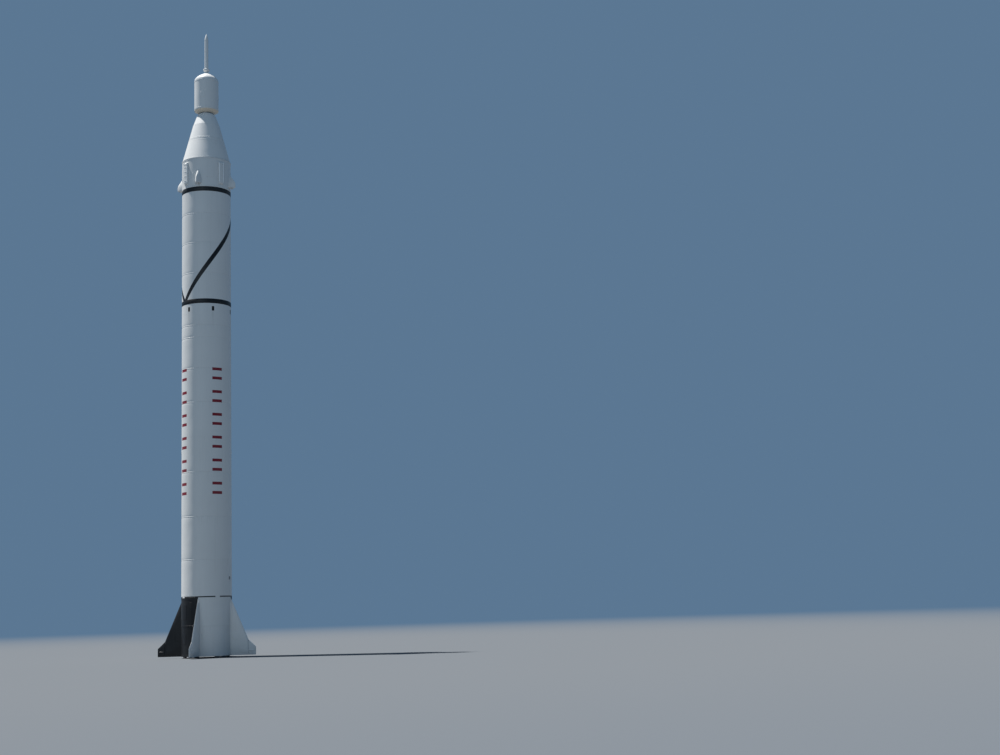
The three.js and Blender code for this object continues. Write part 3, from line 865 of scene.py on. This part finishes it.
lower_fittings = [rivet_rows([2.185, 2.215], BODY_RADIUS, 96)]
bridge = rounded_outline(0.17, 0.11, 10)
lower_fittings += [wall_patch(*bridge, angle, 2.165, BODY_RADIUS, 0.006, 0.014) for angle in DOOR_ANGLES]
port_rim = shell(turned(PORT_RIM, 40), ring=True)
port_bolts = repeated(stud(0.004, 0.003), turned([(0.073, 0.012)], 12)[0], np.eye(3))
for spot, axes in zip(PORT_SPOTS, PORT_AXES):
    lower_fittings += [repeated(port_rim, spot[None], axes), repeated(port_bolts, spot[None], axes)]
lower_fittings += wall_doors(service_doors, BODY_RADIUS)
fitting_enamel = enamel("fitting_enamel")
piece = make_piece("lower_tank_fittings", lower_fittings, fitting_enamel)
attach(piece, "rocket")
plugs = [repeated(shell(turned(PLUG_ROWS, 40)), PORT_SPOTS, PORT_AXES)]
piece = make_piece("port_plugs", plugs, plug_rubber("plug_grey"))
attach(piece, "rocket")

# Middle tank: welded like the lower one, with six small slots let into it below the lower band.
# The slots are painted near black inside as their shade, and rain has washed grime out of them.
SLOT_HEIGHT = 12.54
SLOT_WIDE = 0.083
SLOT_TALL = 0.16
SLOT_DEEP = 0.04
FIRST_SLOT = 4.7
SLOT_COUNT = 6
SLOT_PAINTED_SHADE = (0.007, 0.007, 0.009, 1)
MIDDLE_FOOT, MIDDLE_TOP = levels_of("middle_tank")
MIDDLE_SEAMS = (9.11, 10.35, 11.49, 11.94)


def painted_slot_shade(finish):
    """1 inside the slots, where near black is painted as their shade."""
    turn = off_middle(finish, FIRST_SLOT, SLOT_COUNT)
    beside = finish.near(turn * BODY_RADIUS, SLOT_WIDE / 2 + 0.0025, 0.0005)
    return beside * finish.near(finish.z - SLOT_HEIGHT, SLOT_TALL / 2 + 0.0025, 0.0005)


def slot_runs(finish):
    """Dirt that fades out over 0.8 m below each slot, broken into runs."""
    beside = finish.near(off_middle(finish, FIRST_SLOT, SLOT_COUNT) * BODY_RADIUS, 0.04, 0.02)
    below = SLOT_HEIGHT - SLOT_TALL / 2 - finish.z
    broken = finish.step(finish.noise(1.0, 4.0, (60, 60, 1.2)), 0.42, 0.62)
    return beside * broken * finish.step(below, 0.0, 0.01) * finish.step(below, 0.8, 0.05) * 0.5


def slotted_wall():
    """The wall as radius over angle and height. Between the edge lines of a slot, which are drawn
    twice, 1 mm apart, the radius drops by the slot's depth."""
    edge = np.degrees(SLOT_WIDE / 2 / BODY_RADIUS)
    sliver = np.degrees(0.001 / BODY_RADIUS)
    middles = FIRST_SLOT + 360 / SLOT_COUNT * np.arange(SLOT_COUNT)
    lines = middles[:, None] + np.array([-edge - sliver, -edge, edge, edge + sliver])
    angle = np.unique(np.concatenate([np.arange(0, 360, 1.5), lines.ravel() % 360]))
    low, high = SLOT_HEIGHT - SLOT_TALL / 2, SLOT_HEIGHT + SLOT_TALL / 2
    height = wall_heights(MIDDLE_FOOT, MIDDLE_TOP, MIDDLE_SEAMS, (low - 0.001, low, high, high + 0.001))
    off = np.abs((angle[:, None] - middles + 180) % 360 - 180).min(axis=1)
    inside = (np.abs(height - SLOT_HEIGHT) <= SLOT_TALL / 2 + 0.0005)[:, None] & (off <= edge + sliver / 2)
    radius = BODY_RADIUS + weld_draw(height, MIDDLE_SEAMS)[:, None] - SLOT_DEEP * inside
    turn = np.radians(angle)
    return shell(points_of(radius * np.cos(turn), radius * np.sin(turn), height[:, None]))


middle_marks = [(red_marks, RED), (slot_runs, GRIME_AND_SEAM_SHADE), (painted_slot_shade, SLOT_PAINTED_SHADE)]
middle_enamel = enamel("middle_enamel", marks=middle_marks, seams=(*MIDDLE_SEAMS, MIDDLE_TOP))
piece = make_piece("middle_tank_skin", [slotted_wall()], middle_enamel)
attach(piece, "rocket")
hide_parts("middle_tank")

# Band rings: two narrow black rings where the tanks are joined, each a strap 4 mm thick with
# rolled edges and two rows of countersunk bolts.
BAND_HEIGHT = 0.17


def mirrored(rows, foot, top, between=()):
    """Rows of radius and distance from an end, at the foot and again upside down at the top."""
    lower = [(radius, foot + up) for radius, up in rows]
    return lower + list(between) + [(radius, top - up) for radius, up in reversed(rows)]


band_enamel = enamel("band_enamel", coat=BLACK)
band_edge = [(BODY_RADIUS, 0), (BODY_RADIUS, 0.006), (BODY_RADIUS + 0.004, 0.012)]
for node in ("lower_band_ring", "upper_band_ring"):
    low, high = levels_of(node)
    strap = mirrored(band_edge, low, high, [(BODY_RADIUS + 0.004, low + BAND_HEIGHT / 2)])
    bolts = rivet_rows([low + 0.03, high - 0.03], BODY_RADIUS + 0.003, 120, 0.006)
    skins = [shell(turned(strap)), bolts]
    piece = make_piece(node.replace("ring", "strap"), skins, band_enamel)
    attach(piece, "rocket")
    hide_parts(node)

# Upper tank: welded and enamelled like the lower ones. Two black stripes are painted on it. They
# start together on the lower band, climb opposite ways round and meet again at the upper band.
STRIPE_START = -130.5  # degrees
STRIPE_FOOT = 12.82
STRIPE_RISE = 3.98
STRIPE_WIDE = 0.15
UPPER_FOOT, UPPER_TOP = levels_of("upper_tank")
UPPER_SEAMS = (13.89, 15.03, 16.14)


def slanting_stripes(finish):
    """1 where the height is that of a stripe: it rises evenly with the angle from the start, which
    the arc cosine gives the same on both sides."""
    facing = finish.math("COSINE", finish.angle - math.radians(STRIPE_START))
    climb = finish.math("ARCCOSINE", facing) / math.pi
    slant = math.cos(math.atan2(STRIPE_RISE, math.pi * BODY_RADIUS))
    return finish.near((finish.z - (climb * STRIPE_RISE + STRIPE_FOOT)) * slant, STRIPE_WIDE / 2)


upper_marks = [(slanting_stripes, BLACK)]
upper_enamel = enamel("upper_enamel", marks=upper_marks, seams=(*UPPER_SEAMS, UPPER_TOP))
upper_tank = [shell(turned(tank_wall(UPPER_FOOT, UPPER_TOP, UPPER_SEAMS)))]
piece = make_piece("upper_tank_skin", upper_tank, upper_enamel)
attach(piece, "rocket")
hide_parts("upper_tank")

# Instrument bay: a short bay of sheet metal above the tanks, riveted to a ring 6 mm proud at each
# end. Doors are screwed on round it.
BAY_FOOT, BAY_TOP = levels_of("instrument_bay")
BAY_DOORS = [((28, 118, 208, 298), 17.72, 0.30, 0.44, 9), ((76, 256), 17.62, 0.14, 0.14, 2)]
BAY_RING = BODY_RADIUS + 0.006

bay_enamel = enamel("bay_enamel", seams=(BAY_FOOT + 0.05, BAY_TOP - 0.05))
bay_edge = [(BODY_RADIUS, 0), (BAY_RING, 0.004), (BAY_RING, 0.045), (BODY_RADIUS, 0.052)]
bay_rows = mirrored(bay_edge, BAY_FOOT, BAY_TOP, [(BODY_RADIUS, 17.5), (BODY_RADIUS, 17.9)])
bay = [shell(turned(bay_rows)), rivet_rows([BAY_FOOT + 0.024, BAY_TOP - 0.024], BAY_RING, 96)]
bay += wall_doors(BAY_DOORS, BODY_RADIUS)
piece = make_piece("instrument_bay_skin", bay, bay_enamel)
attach(piece, "rocket")
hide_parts("instrument_bay")

# Jet hoods: keeled blisters of pressed sheet in line with the fins, riveted to the bay through a
# flange. Under each one a small gas jet looks down.
JET_REACH = 0.115
JET_ROWS = [(0.012, 0.03), (0.014, 0.012), (0.032, -0.040), (0.038, -0.040), (0.026, 0.02), (0.026, 0.03)]
# Height, reach beyond the wall, and half width
HOOD_LEVELS = [
    (17.250, 0.215, 0.112),
    (17.262, 0.231, 0.120),
    (17.300, 0.238, 0.127),
    (17.380, 0.237, 0.127),
    (17.450, 0.224, 0.122),
    (17.530, 0.180, 0.110),
    (17.620, 0.112, 0.092),
    (17.710, 0.052, 0.068),
    (17.780, 0.005, 0.045),
]


def hood_skins():
    """At each height the blister is a keel beyond the wall, closed inside it: its shares across and
    out, each raised to 1.25, add up to 1. The flange is its outline 28 mm wider."""
    height, reach, half = smooth_through(HOOD_LEVELS, 5).T[:, :, None]
    turn = np.linspace(0, np.pi, 33)
    out = np.append(np.sin(turn) ** 1.6, [-0.2, -0.2, -0.2])
    across = np.append(signed_power(np.cos(turn), 1.6), [-0.6, 0, 0.6])
    x = BODY_RADIUS - 0.02 + np.where(out < 0, 0.2 * out, (reach + 0.02) * out)
    middle = (height[0] + height[-1]) / 2
    edge = (half + 0.028)[:, 0]
    levels = (height[:, 0] - middle) * 1.07
    outline = np.append(edge, -edge[::-1]), np.append(levels, levels[::-1])
    flange = wall_patch(*outline, 0, middle, BODY_RADIUS, 0.003)
    rivets = edge_screws(*outline, 0, middle, BODY_RADIUS + 0.003, 0.045, 0.955, 0.005)
    jet_spot = np.array([[BODY_RADIUS + JET_REACH, 0, 17.25]])
    jet = repeated(shell(turned(JET_ROWS, 28)), jet_spot, np.eye(3))
    return [shell(points_of(x, half * across, height)), flange, rivets, jet]


hoods = hood_skins()
for number, turn in enumerate(FIN_TURNS, 1):
    piece = make_piece(f"jet_hood_skin_{number}", hoods, bay_enamel, turn)
    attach(piece, "rocket")
    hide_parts(f"jet_hood_{number}")

# Ducts: shallow covers of pressed sheet over the cables up the bay, each held by straps, with a
# pipe along either edge that ends in a bright steel union at the top.
DUCT_FOOT, DUCT_TOP = levels_of("duct_1")
DUCT_TURNS = (55, 145, 235, 325)
DUCT_HALF = 0.098
DUCT_REACH = 0.062
STRAP_FEET = (17.40, 17.57, 17.74, 17.91, 18.03)
EDGE_PIPE_OUT = BODY_RADIUS + 0.044
# Height above the foot, and share of the reach
DUCT_END = [(0.000, 0.30), (0.004, 0.42), (0.020, 0.68), (0.040, 0.88), (0.060, 0.97), (0.100, 1.00)]
STRAP_LEVELS = [(0.0, 0.97), (0.003, 1), (0.027, 1), (0.03, 0.97)]


def duct_skin(foot, levels, grow=0.0):
    """Half a squared ellipse beyond the wall, closed 30 mm inside it, and carried up the wall
    through levels of height and share of the reach."""
    turn = np.linspace(0, np.pi, 29)
    out = np.append((DUCT_REACH + grow) * np.sin(turn) ** 0.5, [-0.03, -0.03, -0.03])
    across = np.append((DUCT_HALF + grow) * np.cos(turn), [-0.06, 0, 0.06])
    height, share = np.array(levels).T[:, :, None]
    return shell(points_of(BODY_RADIUS + np.where(out > 0, out * share, out), across, foot + height))


def edge_rod(side, low, high, *size):
    """A rod along one edge of the cover."""
    return rod((EDGE_PIPE_OUT, side, low), (EDGE_PIPE_OUT, side, high), *size)


duct_levels = DUCT_END + [(0.420, 1.00)] + [(0.840 - height, share) for height, share in reversed(DUCT_END)]
ducts = [duct_skin(DUCT_FOOT, duct_levels)]
ducts += [duct_skin(foot, STRAP_LEVELS, 0.004) for foot in STRAP_FEET]
edge_pipes, unions = [], []
for side in (0.088, -0.088):
    edge_pipes.append(edge_rod(side, DUCT_FOOT + 0.07, DUCT_TOP - 0.05, 0.015))
    unions.append(edge_rod(side, DUCT_TOP - 0.07, DUCT_TOP - 0.03, 0.021, 6, 0.002))
    unions.append(edge_rod(side, DUCT_TOP - 0.03, DUCT_TOP - 0.002, 0.016, 20, 0.008))
pipe_white = enamel("pipe_white", coat=(0.88, 0.88, 0.87, 1), wear=0.3)
union_steel = hot_steel("union_steel", bright=(0.85, 0.84, 0.82, 1), age=0.2)
for number, turn in enumerate(DUCT_TURNS, 1):
    piece = make_piece(f"duct_cover_{number}", ducts, bay_enamel, turn)
    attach(piece, "rocket")
    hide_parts(f"duct_{number}")
    piece = make_piece(f"duct_pipes_{number}", edge_pipes, pipe_white, turn)
    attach(piece, "rocket")
    piece = make_piece(f"duct_union_{number}", unions, union_steel, turn)
    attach(piece, "rocket")

# Cone: two rolled sections with a lap joint between, which end in a rounded shoulder. A rolled
# lip at the foot catches the light.
CONE_FOOT = levels_of("lower_cone")[0]
CONE_SEAM, CONE_TOP = levels_of("upper_cone")
CONE_SHOULDER = 19.70
SHOULDER_RADIUS = 0.497
POCKET_RADIUS = 0.112
POCKET_FOOT = 19.96
# Radius and height of the rounded shoulder
SHOULDER_POINTS = [
    (SHOULDER_RADIUS, CONE_SHOULDER),
    (0.440, 19.85),
    (0.403, 19.95),
    (0.365, 20.05),
    (0.335, 20.11),
    (0.300, CONE_TOP),
]


def cone_radius(height):
    """The cone narrows evenly from the body to the shoulder."""
    share = (height - CONE_FOOT) / (CONE_SHOULDER - CONE_FOOT)
    return BODY_RADIUS + (SHOULDER_RADIUS - BODY_RADIUS) * share


def cone_rows(foot, top, rings):
    """Rows of the cone between two heights, with raised rings of low, high and height out."""
    heights = np.linspace(foot, top, 8)
    for low, high, _ in rings:
        heights = np.append(heights, [low - 0.003, low, low + 0.004, high - 0.004, high, high + 0.003])
    heights = np.unique(np.clip(heights, foot, top))
    out = np.zeros(len(heights))
    for low, high, proud in rings:
        out += proud * ((heights > low + 0.002) & (heights < high - 0.002))
    return points_of(cone_radius(heights) + out, heights)


def cone_rivets(height, proud, count, size):
    """A row of rivets round the cone, as far out as it is there and a little proud."""
    return rivet_rows([height], cone_radius(height) + proud, count, size)


cone_enamel = enamel("cone_enamel", seams=(CONE_FOOT + 0.04, 19.01, CONE_SEAM, CONE_SHOULDER))
lower_rings = [(CONE_FOOT, CONE_FOOT + 0.035, 0.012), (19.0, 19.014, 0.0015), (19.08, CONE_SEAM, 0.002)]
lower_cone = [shell(turned(cone_rows(CONE_FOOT, CONE_SEAM - 0.0003, lower_rings)))]
lower_cone.append(cone_rivets(19.1, 0.002, 84, 0.004))
piece = make_piece("lower_cone_skin", lower_cone, cone_enamel)
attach(piece, "rocket")
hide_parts("lower_cone")
upper_rows = np.concatenate([
    cone_rows(CONE_SEAM, CONE_SHOULDER - 0.002, [(CONE_SEAM, CONE_SEAM + 0.04, 0.0015)]),
    smooth_through(SHOULDER_POINTS, 6),
    [(POCKET_RADIUS, CONE_TOP), (POCKET_RADIUS, POCKET_FOOT)],
])
upper_cone = [shell(turned(upper_rows)), cone_rivets(CONE_SEAM + 0.02, 0.0015, 84, 0.004)]
upper_cone.append(cone_rivets(CONE_SHOULDER - 0.02, 0, 60, 0.006))
piece = make_piece("upper_cone_skin", upper_cone, cone_enamel)
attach(piece, "rocket")
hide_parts("upper_cone")

# Bearing ring: a machined steel ring on the cone's top, bolted down, in which the tub's shaft
# turns. It is square in section, with chamfered corners and a groove round its outside.
BEARING_FOOT, BEARING_TOP = levels_of("bearing_ring")
BEARING_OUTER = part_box("bearing_ring")[1].x
BEARING_BORE = 0.106
GROOVE_RADIUS = BEARING_OUTER - 0.008

half_ring = (BEARING_TOP - BEARING_FOOT) / 2
bearing_rows = [(BEARING_BORE, 0), (BEARING_OUTER - 0.002, 0), (BEARING_OUTER, 0.002)]
bearing_rows += [(BEARING_OUTER, half_ring - 0.006), (GROOVE_RADIUS, half_ring - 0.004)]
bearing = [shell(turned(mirrored(bearing_rows, BEARING_FOOT, BEARING_TOP), 180), ring=True)]
bearing_steel = hot_steel("bearing_steel", bright=(0.42, 0.42, 0.41, 1))
piece = make_piece("bearing_steel_ring", bearing, bearing_steel)
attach(piece, "rocket")
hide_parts("bearing_ring")

# Tub: the shell that spins before the upper stages fire. It is turned sheet on a forged foot, with
# a bolted joint ring at each end of its wall. Its sloped underside is tinted warm yellow: bare
# primer, with the warm light bounced up onto it painted into the same tint.
TUB_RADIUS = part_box("tub")[1].x
SHAFT_FOOT, TUB_RIM = levels_of("tub")
TUB_FOOT = 20.21
TUB_WALL_FOOT = 20.31
TUB_WALL_TOP = 21.50
TUB_RIM_RADIUS = 0.36
UNDERSIDE_RADIUS = 0.268
TUB_SHAFT_RADIUS = 0.1
YELLOWED_AND_BOUNCE_LIGHT = (0.70, 0.60, 0.47, 1)
# Radius and height of the shaft, the underside, the wall between its joint rings, and the rim
TUB_ROWS = [
    (TUB_SHAFT_RADIUS - 0.004, SHAFT_FOOT),
    (TUB_SHAFT_RADIUS, SHAFT_FOOT + 0.004),
    (TUB_SHAFT_RADIUS, TUB_FOOT),
    (UNDERSIDE_RADIUS - 0.006, TUB_FOOT),
    (UNDERSIDE_RADIUS, TUB_FOOT + 0.003),
    (TUB_RADIUS - 0.008, TUB_WALL_FOOT - 0.004),
    (TUB_RADIUS, TUB_WALL_FOOT + 0.006),
    *raised(TUB_RADIUS, 20.335, 20.385, 0.004, 0.004),
    *raised(TUB_RADIUS, 21.425, 21.475, 0.004, 0.004),
    (TUB_RADIUS, TUB_WALL_TOP - 0.006),
    (TUB_RADIUS - 0.003, TUB_WALL_TOP + 0.008),
    (0.435, 21.55),
    (0.400, 21.597),
    (TUB_RIM_RADIUS + 0.004, TUB_RIM - 0.003),
    (TUB_RIM_RADIUS, TUB_RIM),
]


def underside_primer_and_bounce_light(finish):
    """1 on the underside, which takes the primer tint and its painted bounce light, fading out a little
    above it.
    """
    return finish.step(finish.z, TUB_WALL_FOOT + 0.03, TUB_WALL_FOOT - 0.02)


tub_enamel = enamel("tub_enamel", marks=[(underside_primer_and_bounce_light, YELLOWED_AND_BOUNCE_LIGHT)], seams=(20.385, 21.425), wear=0.8)
tub = [shell(turned(TUB_ROWS)), rivet_rows([20.36, 21.45], TUB_RADIUS + 0.004, 60, 0.006)]
tub += wall_doors([((30, 150, 270), 20.86, 0.16, 0.24, 8)], TUB_RADIUS)
piece = make_piece("tub_skin", tub, tub_enamel)
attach(piece, "spin_tub")
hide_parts("tub")

# Tub cap: a shallow dome of spun sheet that closes the tub, bolted down round its edge. The
# support of the last stage stands on it.
CAP_FOOT, CAP_TOP = levels_of("tub_cap")
CAP_BOLT_RADIUS = 0.335
CAP_BOLT_LEAN = math.radians(52)


def cap_profile():
    """The dome rises fastest at its rim: the rise that is left is the power 1.35 of the way that
    is left to its middle."""
    share = np.linspace(0.04, 1, 24)
    radius = TUB_RIM_RADIUS - (TUB_RIM_RADIUS - 0.08) * share
    rise = (CAP_TOP - CAP_FOOT) * (1 - (1 - share) ** 1.35)
    edge = [(TUB_RIM_RADIUS - 0.002, CAP_FOOT), (TUB_RIM_RADIUS, CAP_FOOT + 0.004)]
    return np.concatenate([edge, points_of(radius, CAP_FOOT + rise)])


def cap_bolts():
    """Bolt heads round the cap's edge, square to its slope there."""
    radius, height = cap_profile().T
    spots, axes = on_wall(np.arange(36) * 10, np.interp(-CAP_BOLT_RADIUS, -radius, height), CAP_BOLT_RADIUS)
    sine, cosine = math.sin(CAP_BOLT_LEAN), math.cos(CAP_BOLT_LEAN)
    tilt = np.array([[1, 0, 0], [0, sine, cosine], [0, -cosine, sine]])
    return repeated(stud(0.006, 0.004), spots, axes @ tilt)


cap = [shell(turned(cap_profile(), 180)), cap_bolts()]
piece = make_piece("tub_cap_skin", cap, tub_enamel)
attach(piece, "spin_tub")
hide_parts("tub_cap")

# Last stage and satellite: the support cone with its collar, the slim motor case, the satellite's
# steel cylinder and its nose, all painted white. Narrow grooves mark where they part.
SPIKE_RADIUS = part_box("last_stage")[1].x
SUPPORT_FOOT, SUPPORT_TOP = levels_of("stage_support")
NOSE_FOOT, NOSE_TOP = levels_of("satellite_nose")
# Radius and height of the support, up to its collar
SUPPORT_POINTS = [
    (0.095, SUPPORT_FOOT),
    (0.078, 21.822),
    (0.072, 21.845),
    (0.072, 21.885),
    (0.098, 21.905),
    (0.114, 21.920),
    (0.120, 21.945),
    (0.120, 21.972),
    (0.112, 21.984),
    (0.096, SUPPORT_TOP),
]


def case_rows(node, rings):
    """A slim case with chamfered ends, and raised rings of low, high and height out."""
    between = sum((raised(SPIKE_RADIUS, *ring, 0.002) for ring in rings), [])
    return mirrored([(SPIKE_RADIUS - 0.004, 0), (SPIKE_RADIUS, 0.004)], *levels_of(node), between)


def nose_rows():
    """The nose narrows with the square of the height to a blunt tip 4 mm in radius."""
    share = np.linspace(0, 1, 26)
    radius = 0.004 + (SPIKE_RADIUS - 0.004) * (1 - share ** 2)
    radius[0] -= 0.004
    return points_of(radius, NOSE_FOOT + (NOSE_TOP - NOSE_FOOT) * share)


motor_rows = case_rows("last_stage", [(22.02, 22.05, 0.003), (22.70, 22.73, 0.003)])
satellite_rows = case_rows("satellite_body", [(22.80, 22.815, 0.002)])
spike_enamel = enamel("spike_enamel", wear=0.6)
for name, rows, node in (
    ("stage_support_cone", smooth_through(SUPPORT_POINTS, 5), "stage_support"),
    ("motor_case", motor_rows, "last_stage"),
    ("satellite_case", satellite_rows, "satellite_body"),
    ("satellite_nose_cone", nose_rows(), "satellite_nose"),
):
    piece = make_piece(name, [shell(turned(rows, 96))], spike_enamel)
    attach(piece, "spin_tub")
    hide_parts(node)

# Studio: a pale floor that fades into the backdrop, a high key light from the left rear, as in
# the photo, and a soft pale light from all round.
FLOOR_RADII = (0.5, 4, 12, 30, 60, 120, 260)
KEY_AZIMUTH = 168.0  # degrees from +X
KEY_ELEVATION = 66.0
BACKDROP = (0.105, 0.185, 0.29, 1)
PALE_FLOOR = (0.126, 0.137, 0.149, 1)


def floor_finish():
    """Pale matt floor near the rocket, which fades to the backdrop's own colour far out."""
    finish = Finish("floor")
    squares = finish.x * finish.x + finish.y * finish.y
    far = finish.step(finish.math("SQRT", squares), 20.0, 120.0)
    near = finish.node("BsdfDiffuse", {}, {"Color": PALE_FLOOR})
    glow = finish.node("Emission", {}, {"Color": BACKDROP, "Strength": 1.0})
    surface = finish.node("MixShader", {}, {0: far, 1: near, 2: glow})
    finish.node("OutputMaterial", {}, {"Surface": surface}, None)
    return finish.material


def make_floor():
    """A flat disc: rows of circles from its middle to its rim."""
    circles = turned([(radius, 0) for radius in FLOOR_RADII], 96)
    faces = shell(circles)[1][:, [0, 3, 2, 1]].tolist() + [list(range(96))]
    mesh = bpy.data.meshes.new("floor")
    mesh.from_pydata(circles.reshape(-1, 3).tolist(), [], faces)
    mesh.materials.append(floor_finish())
    floor = bpy.data.objects.new("floor", mesh)
    bpy.context.scene.collection.objects.link(floor)


def light_studio():
    """The world lights softly from everywhere. The key is a sun with a soft edge, and a wide weak
    one fills in from the left."""
    bpy.context.scene.view_settings.view_transform = "Standard"
    world = bpy.data.worlds.new("studio")
    world.use_nodes = True
    background = world.node_tree.nodes["Background"]
    background.inputs["Color"].default_value = BACKDROP
    background.inputs["Strength"].default_value = 1.0
    bpy.context.scene.world = world
    for name, energy, colour, width, turn, rise in (
        ("key", 7.6, (1.0, 0.975, 0.94), 1.6, KEY_AZIMUTH, KEY_ELEVATION),
        ("fill", 0.36, (0.75, 0.90, 1.0), 40.0, -100.0, 12.0),
    ):
        light = bpy.data.lights.new(name, "SUN")
        light.energy = energy
        light.color = colour
        light.angle = math.radians(width)
        lamp = bpy.data.objects.new(name, light)
        azimuth, elevation = math.radians(turn), math.radians(rise)
        level = math.cos(elevation)
        away = Vector((level * math.cos(azimuth), level * math.sin(azimuth), math.sin(elevation)))
        lamp.rotation_euler = away.to_track_quat("Z", "Y").to_euler()
        lamp.location = away * 60
        bpy.context.scene.collection.objects.link(lamp)


make_floor()
light_studio()
